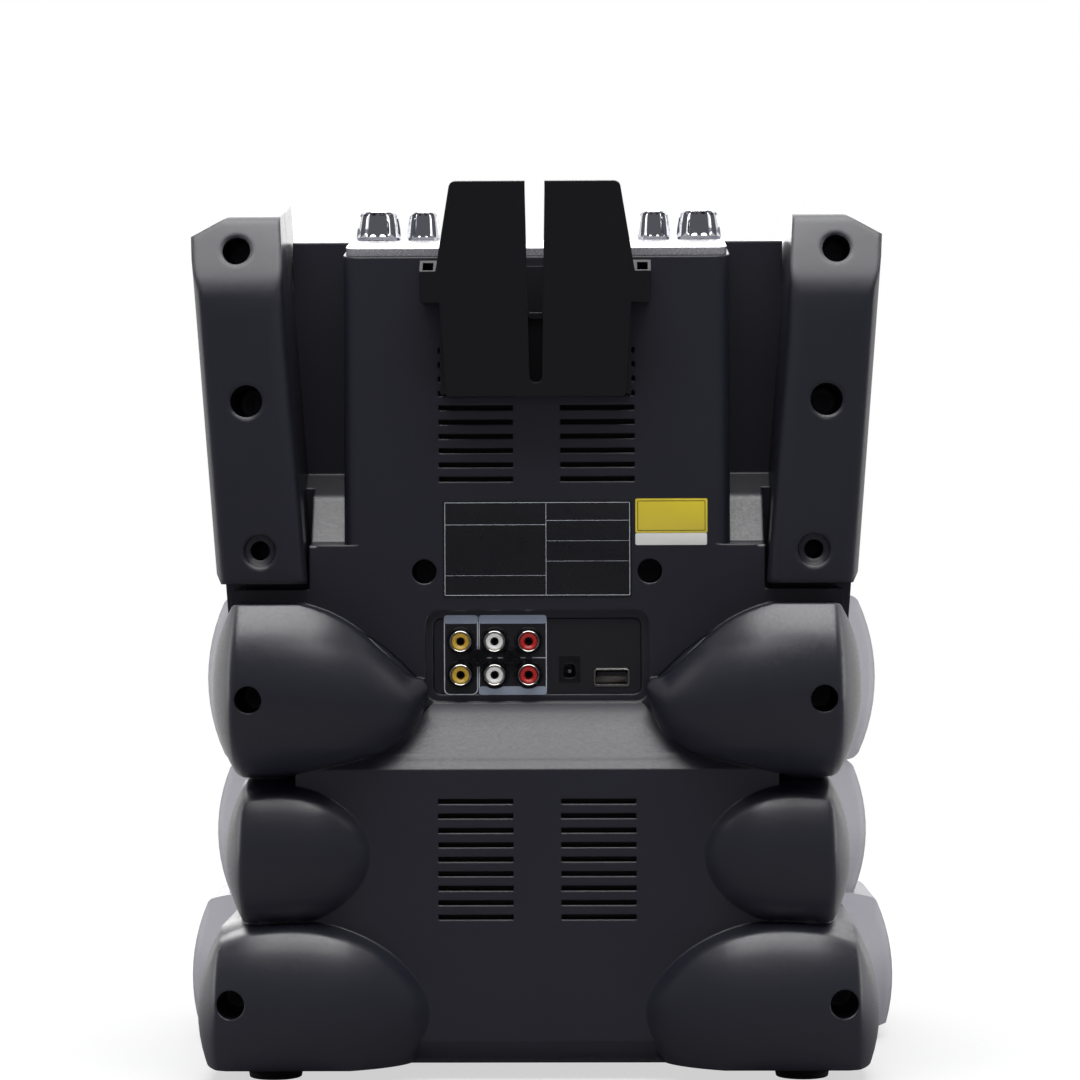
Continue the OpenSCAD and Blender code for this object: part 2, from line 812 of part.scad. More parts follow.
module screw(x, z, y, l) {
    rod_y(x, z, y - l, y + 0.2, screw_r);
    difference() {
        rod_y(x, z, y, y + 2.2, head_r);
        for (a = [0, 90])
            translate([x, y + 2.2, z])
                rotate([0, a, 0]) cube([3.6, 2, 0.8], center = true);
    }
}

module screws() {
    color([0.25, 0.25, 0.27]) {
        both_sides() {
            for (w = wells) screw(w.x, w.y, well_floor(w), 12);
            for (w = handle_wells) screw(w.x, w.y, cover_y + 2.5, 10);
        }
        for (p = panel_screws) screw(p.x, p.y, io_face, 6);
    }
}

module rubber_feet() {
    color([0.1, 0.1, 0.1])
        both_sides()
            for (y = [-foot_y, foot_y])
                translate([foot_x, y, 0]) {
                    cylinder(r1 = foot_r - 1, r2 = foot_r, h = base_z - 0.05);
                    cylinder(r = foot_pin_r, h = base_z + wall + 2);
                }
}

// Fluted knob with its shaft
module knob(k) {
    top_r = k[1] * 0.84;
    seat = crown_at(knob_y) + gap;
    color([0.85, 0.85, 0.87])
        translate([k[0], knob_y, 0]) {
            difference() {
                translate([0, 0, seat]) {
                    rotate_extrude()
                        polygon(rounded([
                            [0, 0, 0], [k[1], 0, 0.6], [k[1] * 0.97, knob_h * 0.5, 0],
                            [top_r, knob_h, 2], [0, knob_h, 0]
                        ]));
                }
                for (i = [0:17])
                    rotate([0, 0, i * 20])
                        translate([k[1] + 0.35, 0, seat + 1.5])
                            rotate([0, -6, 0]) cylinder(r = 1, h = knob_h - 4, $fn = 24);
            }
            translate([0, 0, seat - 12]) cylinder(r = shaft_r, h = 14);
        }
}
function crown_at(y) = crown_z - crown_radius + sqrt(pow(crown_radius, 2) - pow(y + 5, 2));

module big_knob_left() knob(knobs[3]);
module small_knob_left() knob(knobs[2]);
module small_knob_right() knob(knobs[1]);
module big_knob_right() knob(knobs[0]);

control_z = crown_z - 20;
module potentiometers() {
    color([0.5, 0.5, 0.5])
        for (k = knobs)
            translate([k.x, knob_y, 0])
                difference() {
                    union() {
                        translate([-8, -8.5, control_z]) cube([16, 17, 7]);
                        translate([0, 0, control_z]) cylinder(r = shaft_r + 0.8, h = crown_at(knob_y) - control_z - 0.6);
                        translate([0, 0, control_z]) cylinder(r = 6, h = crown_at(knob_y) - control_z - plate_drop - wall, $fn = 6);
                    }
                    translate([0, 0, control_z + 2]) cylinder(r = shaft_r + fit, h = 40);
                }
}

module control_board() {
    color([0.1, 0.35, 0.18])
        block([-tower_half + wall + 2, knob_y - 14, control_z - board_t],
            [tower_half - wall - 2, knob_y + 14, control_z]);
}

module main_board() {
    color([0.1, 0.35, 0.18]) {
        difference() {
            block([-66, board_y, 212], [66, board_y + board_t, 300]);
            for (x = [-60, 60], z = [220, 292]) rod_y(x, z, board_y - 5, board_y + 5, 1.6);
        }
        for (i = [0:6]) block([-50 + i * 3.4, board_y - 20, 228], [-48.6 + i * 3.4, board_y, 262]);
        for (x = [0, 14, 28]) rod_y(x, 280, board_y - 14, board_y, 5);
        for (x = [2, 26]) block([x, board_y - 2.2, 236], [x + 16, board_y, 252]);
    }
}

module io_board() {
    color([0.1, 0.35, 0.18])
        block([-40, io_board_y, panel_z0 + 2.5], [40, io_board_y + board_t, panel_z1 - 4]);
}

tray_bottom = tray_z - tray_t;
tray_front = fascia_y + 3.5;
door_w = tray_w + 8;
door_z1 = tray_z + 5;
mic_z = 155;
buttons = [for (i = [-3:3]) i * button_pitch];

module fascia_panel() {
    color([0.06, 0.06, 0.07])
        difference() {
            union() {
                along_y(fascia_y, fascia_y + fascia_t)
                    polygon(slab_outline(-fascia_half, fascia_z0, fascia_half, fascia_z1, 5));
                // Posts for the speaker's ears
                for (e = ears) rod_y(e.x, e.y, fascia_y + 1, flange_y, 3);
            }
            rod_y(0, speaker_z, -200, 0, grille_r + ring_w);
            along_y(-200, 0)
                polygon(slab_outline(-screen_w / 2 + 7, screen_z - screen_h / 2 + 5,
                    screen_w / 2 - 7, screen_z + screen_h / 2 - 5, 1));
            // Seat of the screen's lens
            along_y(-200, fascia_y + 1.5)
                polygon(slab_outline(-screen_w / 2 + 1, screen_z - screen_h / 2 - gap,
                    screen_w / 2 - 1, screen_z + screen_h / 2 + gap, 3));
            along_y(-200, 0)
                polygon(slab_outline(-door_w / 2 - gap, door_z0 - gap,
                    door_w / 2 + gap, door_z1 + gap, 1.5));
            for (x = buttons) rod_y(x, button_z, -200, 0, button_r + gap);
            for (x = [-mic_x, mic_x]) rod_y(x, mic_z, -200, 0, 5.6);
        }
}

module screen_lens() {
    color([0.03, 0.03, 0.04])
        along_y(fascia_y + 0.05, fascia_y + 1.5)
            polygon(slab_outline(-screen_w / 2 + 1 + gap, screen_z - screen_h / 2,
                screen_w / 2 - 1 - gap, screen_z + screen_h / 2, 3 - gap));
}

module lcd_module() {
    lcd_y = fascia_y + fascia_t;
    half_h = screen_h / 2;
    color([0.3, 0.3, 0.33]) {
        difference() {
            block([-78.2, lcd_y, screen_z - half_h], [78.2, lcd_y + 5.5, screen_z + half_h]);
            block([-74, lcd_y - 1, screen_z - half_h + 6], [74, lcd_y + 0.6, screen_z + half_h - 6]);
        }
        block([-40, lcd_y + 5.5, screen_z - 30], [40, lcd_y + 9, screen_z + 12]);
    }
}

button_back = fascia_y + fascia_t + 3 + button_travel;
module button(x) {
    color([0.75, 0.75, 0.78]) {
        difference() {
            rod_y(x, button_z, fascia_y - 1.4, fascia_y + fascia_t + 1, button_r);
            translate([x, fascia_y - 1.4 - 19.4, button_z]) sphere(r = 20);
        }
        rod_y(x, button_z, fascia_y + fascia_t + 0.4, fascia_y + fascia_t + 1.2, button_r + 1);
        rod_y(x, button_z, fascia_y + fascia_t + 1, button_back - button_travel - 0.1, 1.5);
    }
}
module button_power() button(buttons[0]);
module button_menu() button(buttons[1]);
module button_previous() button(buttons[2]);
module button_play() button(buttons[3]);
module button_next() button(buttons[4]);
module button_stop() button(buttons[5]);
module button_eject() button(buttons[6]);

// Board behind the buttons, with one switch for each
module button_board() {
    board = button_back + 2.5;
    color([0.1, 0.35, 0.18]) {
        block([buttons[0] - 11, board, button_z - 8], [buttons[6] + 11, board + board_t, button_z + 8]);
        for (x = buttons) block([x - 3, button_back, button_z - 3], [x + 3, board, button_z + 3]);
        for (x = [buttons[0] - 8.6, buttons[6] + 8.6])
            rod_y(x, button_z, fascia_y + fascia_t, board, 1.8);
    }
}

module mic_jacks() {
    color([0.75, 0.75, 0.78])
        for (x = [-mic_x, mic_x])
            difference() {
                union() {
                    rod_y(x, mic_z, fascia_y - 1.8, fascia_y + fascia_t + 2, 5.2);
                    rod_y(x, mic_z, fascia_y - 1.2, fascia_y, 7);
                    block([x - 8, fascia_y + fascia_t, mic_z - 7], [x + 8, fascia_y + 30, mic_z + 5.5]);
                }
                rod_y(x, mic_z, fascia_y - 5, fascia_y + 28, mic_r);
            }
}

// Moulded grille: rings on eight spokes
module speaker_grille() {
    grille_y = fascia_y + 0.2;
    color([0.1, 0.1, 0.11]) {
        difference() {
            rod_y(0, speaker_z, grille_y, grille_y + 1.9, grille_r);
            for (i = [1:8])
                difference() {
                    rod_y(0, speaker_z, grille_y - 1, grille_y + 5, grille_r - 3 - (8 - i) * 7);
                    rod_y(0, speaker_z, grille_y - 2, grille_y + 6, grille_r - 7.6 - (8 - i) * 7);
                    for (a = [0:45:135])
                        translate([0, grille_y + 1, speaker_z])
                            rotate([0, a, 0]) cube([2 * grille_r, 10, 2.4], center = true);
                }
        }
    }
}

module light_ring() {
    color([0.9, 0.9, 0.92])
        difference() {
            rod_y(0, speaker_z, fascia_y - 0.5, fascia_y + fascia_t + 0.8, grille_r + ring_w);
            rod_y(0, speaker_z, -200, 0, grille_r);
        }
}

light_y = fascia_y + fascia_t + 1.2;
module light_board() {
    color([0.85, 0.88, 0.85])
        difference() {
            union() {
                rod_y(0, speaker_z, light_y, light_y + board_t, grille_r + ring_w);
                for (i = [0:11])
                    translate([0, 0, speaker_z])
                        rotate([0, i * 30, 0])
                            translate([grille_r + 1, light_y - 0.3, -2]) cube([4, 1, 4]);
            }
            rod_y(0, speaker_z, -200, 0, grille_r - 1);
        }
}

flange_y = light_y + board_t;
ears = [for (a = [45:90:315]) [72 * cos(a), speaker_z + 72 * sin(a)]];
cone_r = 50;
coil_r = 12.5;
module woofer_basket() {
    color([0.2, 0.2, 0.22])
        difference() {
            union() {
                translate([0, 0, speaker_z])
                    rotate([-90, 0, 0])
                        rotate_extrude()
                            polygon([
                                [cone_r + 7, flange_y], [grille_r + 3, flange_y],
                                [grille_r + 3, flange_y + 2], [cone_r + 9, flange_y + 2],
                                [38, flange_y + 36], [38, flange_y + 46],
                                [14.6, flange_y + 46], [14.6, flange_y + 44],
                                [36, flange_y + 44], [36, flange_y + 35], [cone_r + 7, flange_y + 2]
                            ]);
                difference() {
                    union() {
                        for (e = ears) rod_y(e.x, e.y, flange_y, flange_y + 2, 5);
                        translate([0, 0, speaker_z])
                            rotate([-90, 0, 0])
                                for (a = [45:90:315])
                                    rotate([0, 0, a])
                                        translate([grille_r, -4, flange_y]) cube([10, 8, 2]);
                    }
                    for (e = ears) rod_y(e.x, e.y, flange_y - 5, flange_y + 5, screw_r + fit);
                }
            }
            translate([0, 0, speaker_z])
                rotate([-90, 0, 0])
                    for (a = [0:60:300])
                        rotate([0, 0, a])
                            translate([20, -11, flange_y + 9]) cube([60, 22, 24]);
        }
}

module woofer_magnet() {
    color([0.35, 0.35, 0.36])
        difference() {
            rod_y(0, speaker_z, flange_y + 46, flange_y + 64, 40);
            difference() {
                rod_y(0, speaker_z, flange_y + 40, flange_y + 62, coil_r + 1.2);
                rod_y(0, speaker_z, flange_y + 38, flange_y + 63, coil_r - 1.6);
            }
        }
}

// Rubber roll between the cone and the basket
module woofer_surround() {
    color([0.08, 0.08, 0.08])
        translate([0, 0, speaker_z])
            rotate([-90, 0, 0])
                rotate_extrude()
                    difference() {
                        union() {
                            translate([cone_r + 3.4, flange_y - 0.4]) circle(3);
                            translate([cone_r + 5.5, flange_y - 1.2]) square([5.5, 1]);
                        }
                        translate([cone_r + 3.4, flange_y - 0.4]) circle(2.2);
                        translate([0, flange_y - 0.2]) square([cone_r + 6, 20]);
                    }
}

module woofer_cone() {
    front = flange_y + 0.2;
    deep = flange_y + 26;
    color([0.12, 0.12, 0.12])
        translate([0, 0, speaker_z])
            rotate([-90, 0, 0])
                rotate_extrude()
                    polygon([
                        [cone_r - 0.3, front], [cone_r - 0.3, front + 1], [coil_r, deep],
                        [coil_r, flange_y + 56], [coil_r - 0.8, flange_y + 56], [coil_r - 0.8, deep - 2],
                        [0, deep - 6], [0, deep - 7.4], [8, deep - 6.6], [coil_r + 3, deep - 3.6],
                        [cone_r - 2.4, front]
                    ]);
}

// Loader: a frame that carries the tray, the drive and the clamp bridge
loader_front = fascia_y + 4.5;
loader_rear = 48;
loader_half = tray_w / 2 + 5.5;
floor_z = tray_bottom - 9;
floor_t = 2;
gear_z = tray_bottom - 5;
door_z0 = gear_z - 0.7;
rack_x = 57;
gear_x = rack_x - 10;
gear_y = loader_front + 15.5;
belt_x = gear_x - 20;
motor_x = belt_x - 23;
// The rack still meets its gear when the tray is out
tray_rear = gear_y + tray_travel + 2.6;
traverse_half = 37;
traverse_front = disc_y - 24;
sled_rest = disc_y + 24;
traverse_rear = sled_rest + sled_travel + 22;

// Gear with simple trapezoid teeth: module m, n teeth
module gear_2d(m, n) {
    r = m * n / 2;
    polygon([for (i = [0:n - 1])
        each [for (p = [[-0.36, -1.2], [-0.14, 0.9], [0.14, 0.9], [0.36, -1.2]])
            (r + p.y * m * 0.92) * [cos(360 / n * (i + p.x * 0.9)), sin(360 / n * (i + p.x * 0.9))]]]);
}

module loader_frame() {
    color([0.24, 0.24, 0.26])
        difference() {
            union() {
                block([-loader_half, loader_front, floor_z], [loader_half, loader_rear, floor_z + floor_t]);
                both_sides() {
                    block([tray_w / 2 + gap, loader_front, floor_z], [loader_half, loader_rear, tray_z + 7]);
                    // Ledges that the tray slides on
                    block([rack_x + 3.4, loader_front, floor_z], [loader_half, loader_rear, tray_bottom - 0.1]);
                }
                block([-loader_half, loader_rear - 2, floor_z], [loader_half, loader_rear, tray_bottom - 1]);
                // Axles of the drive and the bearings of the traverse
                for (x = [gear_x, belt_x])
                    translate([x, gear_y, floor_z]) cylinder(r = 1.6, h = tray_bottom - floor_z - 0.6);
                for (s = [-1, 1])
                    block([s * (traverse_half + 3.4) - 2.4, traverse_rear - 8, floor_z],
                        [s * (traverse_half + 3.4) + 2.4, traverse_rear, gear_z + 2]);
                // Feet that hang the frame on the casing
                both_sides()
                    block([loader_half - 3, loader_front + 20, floor_z - 6], [loader_half, loader_front + 34, floor_z + 1]);
            }
            // Opening for the traverse
            block([-traverse_half - 0.6, traverse_front - 0.6, floor_z - 5],
                [traverse_half + 0.6, traverse_rear + 3, floor_z + floor_t + 5]);
            translate([motor_x, gear_y, floor_z - 5]) cylinder(r = 4, h = 20);
            // Notch that clears the large gear
            translate([gear_x, gear_y, floor_z + floor_t]) cylinder(r = 16.4, h = gear_z - floor_z - floor_t - 0.1);
            rod_x(traverse_rear - 4, gear_z - 1, -traverse_half - 10, traverse_half + 10, 1.5 + fit);
            for (s = [-1, 1])
                translate([s * (loader_half - 2), disc_y, tray_z]) cylinder(r = 1.2, h = 20);
        }
}

module disc_tray() {
    color([0.14, 0.14, 0.15])
        difference() {
            union() {
                block([-tray_w / 2, tray_front, tray_bottom], [tray_w / 2, tray_rear, tray_z]);
                // Rack under the tray
                translate([0, 0, gear_z])
                    linear_extrude(tray_bottom - gear_z + 0.5)
                        polygon([
                            [rack_x + 3, tray_front + 3], [rack_x + 3, tray_rear - 1],
                            each [for (y = [rack_last : -PI : tray_front + 5])
                                each [[rack_x + 1.15, y + 1.13], [rack_x - 0.8, y + 0.42],
                                    [rack_x - 0.8, y - 0.42], [rack_x + 1.15, y - 1.13]]]
                        ]);
            }
            // Wells for large and small discs
            translate([0, disc_y, tray_z - 3]) cylinder(r = disc_well_r, h = 5, $fn = 128);
            translate([0, disc_y, tray_z - 4.4]) cylinder(r = 40.8, h = 5);
            // Window for the laser, open at the rear
            block([-21, disc_y - 20, tray_bottom - 5], [21, tray_rear + 1, tray_z + 1]);
            // Relief under the tray that clears the drive
            block([-tray_w / 2 + 6, tray_front + 4, tray_bottom - 1],
                [rack_x - 3, tray_rear - 3, tray_bottom + 2]);
            both_sides()
                block([24, disc_y - 58, tray_z - 4], [30, disc_y - 52, tray_z + 1]);
        }
}
rack_last = gear_y + PI / 2 + PI * floor((tray_rear - 5 - gear_y) / PI - 0.5);

module tray_door() {
    color([0.06, 0.06, 0.07])
        along_y(fascia_y, tray_front)
            polygon(slab_outline(-door_w / 2, door_z0, door_w / 2, door_z1, 1.2));
}

module loader_motor() {
    color([0.7, 0.7, 0.72]) {
        difference() {
            translate([motor_x, gear_y, floor_z - 16]) cylinder(r = 10, h = 16);
            translate([motor_x, gear_y, floor_z - 5]) cylinder(r = 1 + fit, h = 10);
        }
    }
}

module pulley(r, z0, z1) {
    translate([0, 0, z0]) cylinder(r = r, h = z1 - z0);
    for (z = [z0, z1 - 0.5])
        translate([0, 0, z]) cylinder(r = r + 0.9, h = 0.5);
}

low_gear_z = floor_z + floor_t + 0.2;
belt_z0 = gear_z + 0.3;
belt_z1 = belt_z0 + 2.6;
motor_pulley_r = 2.5;
belt_wheel_r = 8;
module motor_pulley() {
    color([0.8, 0.78, 0.7])
        translate([motor_x, gear_y, 0]) {
            pulley(motor_pulley_r, belt_z0, belt_z1);
            translate([0, 0, floor_z - 4]) cylinder(r = 1, h = belt_z0 - floor_z + 5);
        }
}

module drive_belt() {
    r1 = motor_pulley_r + 0.12;
    r2 = belt_wheel_r + 0.12;
    d = belt_x - motor_x;
    lean = asin((r2 - r1) / d);
    band = 1;
    color([0.05, 0.05, 0.05])
        translate([motor_x, gear_y, belt_z0 + 0.8])
            linear_extrude(1)
                difference() {
                    belt_path(r1 + band, r2 + band, d, lean);
                    belt_path(r1, r2, d, lean);
                }
}

module belt_path(r1, r2, d, lean) {
    steps = 16;
    polygon([
        each [for (i = [0:steps])
            let (a = 90 + lean + (180 - 2 * lean) * i / steps) r1 * [cos(a), sin(a)]],
        each [for (i = [0:steps])
            let (a = -90 - lean + (180 + 2 * lean) * i / steps) [d, 0] + r2 * [cos(a), sin(a)]]
    ]);
}

module belt_wheel() {
    color([0.9, 0.88, 0.8])
        translate([belt_x, gear_y, 0])
            difference() {
                union() {
                    pulley(belt_wheel_r, belt_z0, belt_z1);
                    translate([0, 0, low_gear_z])
                        linear_extrude(belt_z0 - low_gear_z + 0.1) gear_2d(1, 10);
                }
                cylinder(r = 1.6 + fit, h = 400);
            }
}

module drive_gear() {
    color([0.9, 0.88, 0.8])
        translate([gear_x, gear_y, 0])
            difference() {
                union() {
                    translate([0, 0, gear_z]) linear_extrude(3.8) gear_2d(1, 20);
                    translate([0, 0, low_gear_z])
                        linear_extrude(gear_z - low_gear_z - 0.3)
                            rotate(180 / 30) gear_2d(1, 30);
                    translate([0, 0, low_gear_z]) cylinder(r = 6, h = gear_z - low_gear_z + 1);
                }
                cylinder(r = 1.6 + fit, h = 400);
            }
}

// Traverse: the small chassis that carries the disc motor and the laser
traverse_z = floor_z + 0.4;
traverse_t = 2.2;
rod_x0 = 26;
rod_z = traverse_z + traverse_t + 2.6;
rod_r = 1.5;
module traverse_chassis() {
    color([0.3, 0.3, 0.32])
        difference() {
            union() {
                block([-traverse_half, traverse_front, traverse_z],
                    [traverse_half, traverse_rear - 1, traverse_z + traverse_t]);
                // Blocks that hold the guide rods
                for (x = [-rod_x0, rod_x0], y = [disc_y + 17, traverse_rear - 12])
                    block([x - 3, y - 2, traverse_z], [x + 3, y + 2, rod_z + 2.4]);
                for (y = [disc_y + 17, traverse_rear - 12])
                    block([screw_x - 2.4, y - 2, traverse_z], [screw_x + 2.4, y + 2, rod_z + 2]);
                rod_x(traverse_rear - 4, gear_z - 1, -traverse_half - 5.4, traverse_half + 5.4, 1.5);
                block([-traverse_half, traverse_rear - 6, traverse_z], [traverse_half, traverse_rear - 2, gear_z - 0.6]);
            }
            translate([0, disc_y, 0]) cylinder(r = 9, h = 400);
            block([-22, disc_y + 13, traverse_z - 1], [22, traverse_rear - 15, traverse_z + 10]);
            for (x = [-rod_x0, rod_x0])
                rod_y(x, rod_z, disc_y + 15.5, traverse_rear - 10.5, rod_r + fit);
            rod_y(screw_x, rod_z, disc_y + 14, traverse_rear - 9, 1.2 + fit);
        }
}
screw_x = 18.6;

module spindle_motor() {
    color([0.7, 0.7, 0.72])
        translate([0, disc_y, 0])
            difference() {
                union() {
                    translate([0, 0, traverse_z - 9]) cylinder(r = 11.5, h = 9);
                    translate([0, 0, traverse_z - 9]) cylinder(r = 8.8, h = 12);
                }
                translate([0, 0, traverse_z - 7]) cylinder(r = 1 + fit, h = 30);
            }
}

disc_z = tray_z - 2.2;
module turntable() {
    color([0.85, 0.85, 0.8])
        translate([0, disc_y, 0]) {
            translate([0, 0, disc_z - 4]) cylinder(r = 13, h = 4);
            translate([0, 0, disc_z - 0.1]) cylinder(r1 = 7.4, r2 = 5.6, h = 3.4);
            translate([0, 0, traverse_z - 6]) cylinder(r = 1, h = disc_z - traverse_z + 3);
        }
}

module pickup_sled() {
    color([0.2, 0.2, 0.22])
        difference() {
            union() {
                block([-20, sled_rest - 4, rod_z - 2.5], [20, sled_rest + 7, rod_z + 2]);
                for (s = [-1, 1])
                    block([s * rod_x0 - 3.2, sled_rest - 1, rod_z - 2.2], [s * rod_x0 + 3.2, sled_rest + 7, rod_z + 2.4]);
                both_sides()
                    block([19, sled_rest - 1, rod_z + 1.3], [rod_x0, sled_rest + 7, rod_z + 2.4]);
                translate([0, sled_rest + 3, rod_z + 2]) cylinder(r = 5, h = 1.6);
                translate([0, sled_rest + 3, rod_z + 3]) cylinder(r = 2.4, h = 1.4);
            }
            for (x = [-rod_x0, rod_x0])
                rod_y(x, rod_z, sled_rest - 20, sled_rest + 20, rod_r + fit);
            rod_y(screw_x, rod_z, sled_rest - 20, sled_rest + 20, 1.9);
        }
}

module guide_rods() {
    color([0.85, 0.85, 0.87])
        for (x = [-rod_x0, rod_x0])
            rod_y(x, rod_z, disc_y + 15.5, traverse_rear - 10.5, rod_r);
}

// Screw with rings for its thread
module feed_screw() {
    color([0.8, 0.8, 0.82]) {
        rod_y(screw_x, rod_z, disc_y + 14.4, traverse_rear - 9.4, 1.2);
        for (y = [disc_y + 20 : 1.5 : traverse_rear - 15])
            translate([screw_x, y, rod_z])
                rotate([90, 0, 0]) cylinder(r1 = 1.1, r2 = 1.7, h = 0.7);
    }
}

module clamp_bridge() {
    color([0.75, 0.75, 0.77])
        difference() {
            union() {
                block([-loader_half, disc_y - 14, tray_z + 7], [loader_half, disc_y + 14, tray_z + 8.2]);
                for (s = [-1, 1])
                    translate([s * (loader_half - 2), disc_y, tray_z + 1]) cylinder(r = 1.15, h = 7);
            }
            translate([0, disc_y, 0]) cylinder(r = 11, h = 400);
        }
}

module clamp_puck() {
    color([0.9, 0.9, 0.9])
        translate([0, disc_y, 0])
            difference() {
                union() {
                    translate([0, 0, tray_z + 4.2]) cylinder(r = 14, h = 2.4);
                    translate([0, 0, tray_z + 4.2]) cylinder(r = 9, h = 6);
                    translate([0, 0, tray_z + 8.5]) cylinder(r = 13, h = 1.6);
                }
                translate([0, 0, tray_z]) cylinder(r = 8, h = 8);
            }
}

rear_shell();
front_shell();
fascia_panel();
top_plate();
handle_cover_left();
handle_cover_right();
phone_cradle();
io_panel();
phono_collars();
phono_yellow();
phono_white();
phono_red();
dc_jack();
usb_port();
rating_plate();
screws();
rubber_feet();
big_knob_left();
small_knob_left();
small_knob_right();
big_knob_right();
potentiometers();
control_board();
main_board();
io_board();
lcd_module();
screen_lens();
button_board();
button_power();
button_menu();
button_previous();
button_play();
button_next();
button_stop();
button_eject();
mic_jacks();
speaker_grille();
woofer_basket();
woofer_magnet();
woofer_surround();
woofer_cone();
light_ring();
light_board();
loader_frame();
disc_tray();
tray_door();
loader_motor();
motor_pulley();
drive_belt();
belt_wheel();
drive_gear();
traverse_chassis();
spindle_motor();
turntable();
pickup_sled();
guide_rods();
feed_screw();
clamp_bridge();
clamp_puck();
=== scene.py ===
import math
import bpy
import bmesh
import numpy as np
from mathutils import Matrix, Vector


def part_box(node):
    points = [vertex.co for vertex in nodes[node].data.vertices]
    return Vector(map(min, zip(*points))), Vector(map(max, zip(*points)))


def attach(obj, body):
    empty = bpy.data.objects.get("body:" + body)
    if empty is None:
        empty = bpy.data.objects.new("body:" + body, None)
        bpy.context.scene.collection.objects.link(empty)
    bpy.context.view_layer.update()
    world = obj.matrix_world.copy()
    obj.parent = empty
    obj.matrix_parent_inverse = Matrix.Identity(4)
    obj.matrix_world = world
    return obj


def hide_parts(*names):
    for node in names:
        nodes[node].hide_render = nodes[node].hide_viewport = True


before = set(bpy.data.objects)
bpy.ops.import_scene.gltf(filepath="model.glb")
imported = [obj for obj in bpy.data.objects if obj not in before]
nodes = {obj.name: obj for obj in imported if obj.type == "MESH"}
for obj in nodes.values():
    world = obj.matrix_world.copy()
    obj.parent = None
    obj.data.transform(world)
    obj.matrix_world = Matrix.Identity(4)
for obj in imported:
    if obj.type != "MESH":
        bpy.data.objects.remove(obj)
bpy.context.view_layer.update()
mm = 0.001
print("frame loaded:", len(nodes), "nodes")


# camera: level, on the rear side, turned a little so that the machine's middle is in the middle
cameraPlace = {
    "at": (-0.020, 1.378, 0.2058),
    "target": (-0.0012, 0.078, 0.2058),
    "seenWidth": 0.4154,      # metres across the frame at the tower's rear plane
    "distance": 1.300,        # metres from the camera to that plane
    "roll": -0.2,             # degrees
    "sensorWidth": 36.0,      # millimetres
    "clip": (0.05, 60.0),
}


def makeCamera(p):
    data = bpy.data.cameras.new("photoCamera")
    # focal length = sensor width x distance / width seen at that distance
    data.sensor_width = p["sensorWidth"]
    data.lens = p["sensorWidth"] * p["distance"] / p["seenWidth"]
    data.clip_start, data.clip_end = p["clip"]
    camera = bpy.data.objects.new("photoCamera", data)
    look = (Vector(p["target"]) - Vector(p["at"])).to_track_quat("-Z", "Y").to_matrix().to_4x4()
    camera.matrix_world = (Matrix.Translation(Vector(p["at"])) @ look
                           @ Matrix.Rotation(math.radians(p["roll"]), 4, "Z"))
    bpy.context.scene.collection.objects.link(camera)
    bpy.context.scene.camera = camera


makeCamera(cameraPlace)


def linear(hexColour):
    # sRGB hex to linear: below 0.04045 a straight line, above it a power of 2.4
    parts = np.array([int(hexColour[i:i + 2], 16) / 255 for i in (1, 3, 5)])
    low = parts / 12.92
    high = ((parts + 0.055) / 1.055) ** 2.4
    return tuple(float(v) for v in np.where(parts <= 0.04045, low, high)) + (1.0,)


def addNode(tree, kind, settings=None, links=None):
    # one node; settings name its properties or inputs, links name its inputs
    node = tree.nodes.new(kind)
    for name, value in (settings or {}).items():
        if isinstance(name, str) and hasattr(node, name):
            setattr(node, name, value)
        else:
            node.inputs[name].default_value = value
    for name, socket in (links or {}).items():
        tree.links.new(socket, node.inputs[name])
    return node


# lamps and floor
studio = {
    "lamps": [
        # name, place, size, watts
        ("overheadRear", (0.0, 0.44, 1.55), (1.7, 1.1), 29.0),
        ("overheadFront", (0.0, -0.90, 1.45), (1.7, 1.5), 14.0),
        ("sideLeft", (1.5, -0.15, 0.5), (0.45, 1.3), 4.0),
        ("sideRight", (-1.5, -0.15, 0.5), (0.45, 1.3), 4.0),
        ("frontFill", (0.3, -2.4, 0.9), (1.6, 1.2), 16.0),
    ],
    "aim": (0.0, 0.0, 0.17),          # the machine's middle
    "roomLight": 0.15,
    "roomTint": "#e8e8f4",
    "roomFade": (0.25, -0.35),        # direction y over which glossy rays begin to see the lit sweep
    "floorHalf": 9.0,
    "floorFade": (0.1, -0.2),         # the same for places on the floor
    "shadowReach": (0.35, 1.3),
    "shadowGlow": 0.62,               # share of the floor that glows inside the shadow's reach
    "paper": "#f4f4f4",
    "paperInGloss": "#5c5c62",
}


def litSweep(tree, place, fade):
    # share of each ray that sees the sweep lit: all of a camera ray, and of a glossy ray what lies behind
    # the machine, growing from 0 to 1 as y goes from fade[0] to fade[1]
    path = addNode(tree, "ShaderNodeLightPath")
    split = addNode(tree, "ShaderNodeSeparateXYZ", links={0: place})
    behind = addNode(tree, "ShaderNodeMapRange",
                     {"From Min": fade[0], "From Max": fade[1], "To Min": 0.0, "To Max": 1.0},
                     {"Value": split.outputs["Y"]})
    gloss = addNode(tree, "ShaderNodeMath", {"operation": "MULTIPLY"},
                    {0: path.outputs["Is Glossy Ray"], 1: behind.outputs[0]})
    seen = addNode(tree, "ShaderNodeMath", {"operation": "MAXIMUM"},
                   {0: path.outputs["Is Camera Ray"], 1: gloss.outputs[0]})
    return path, seen


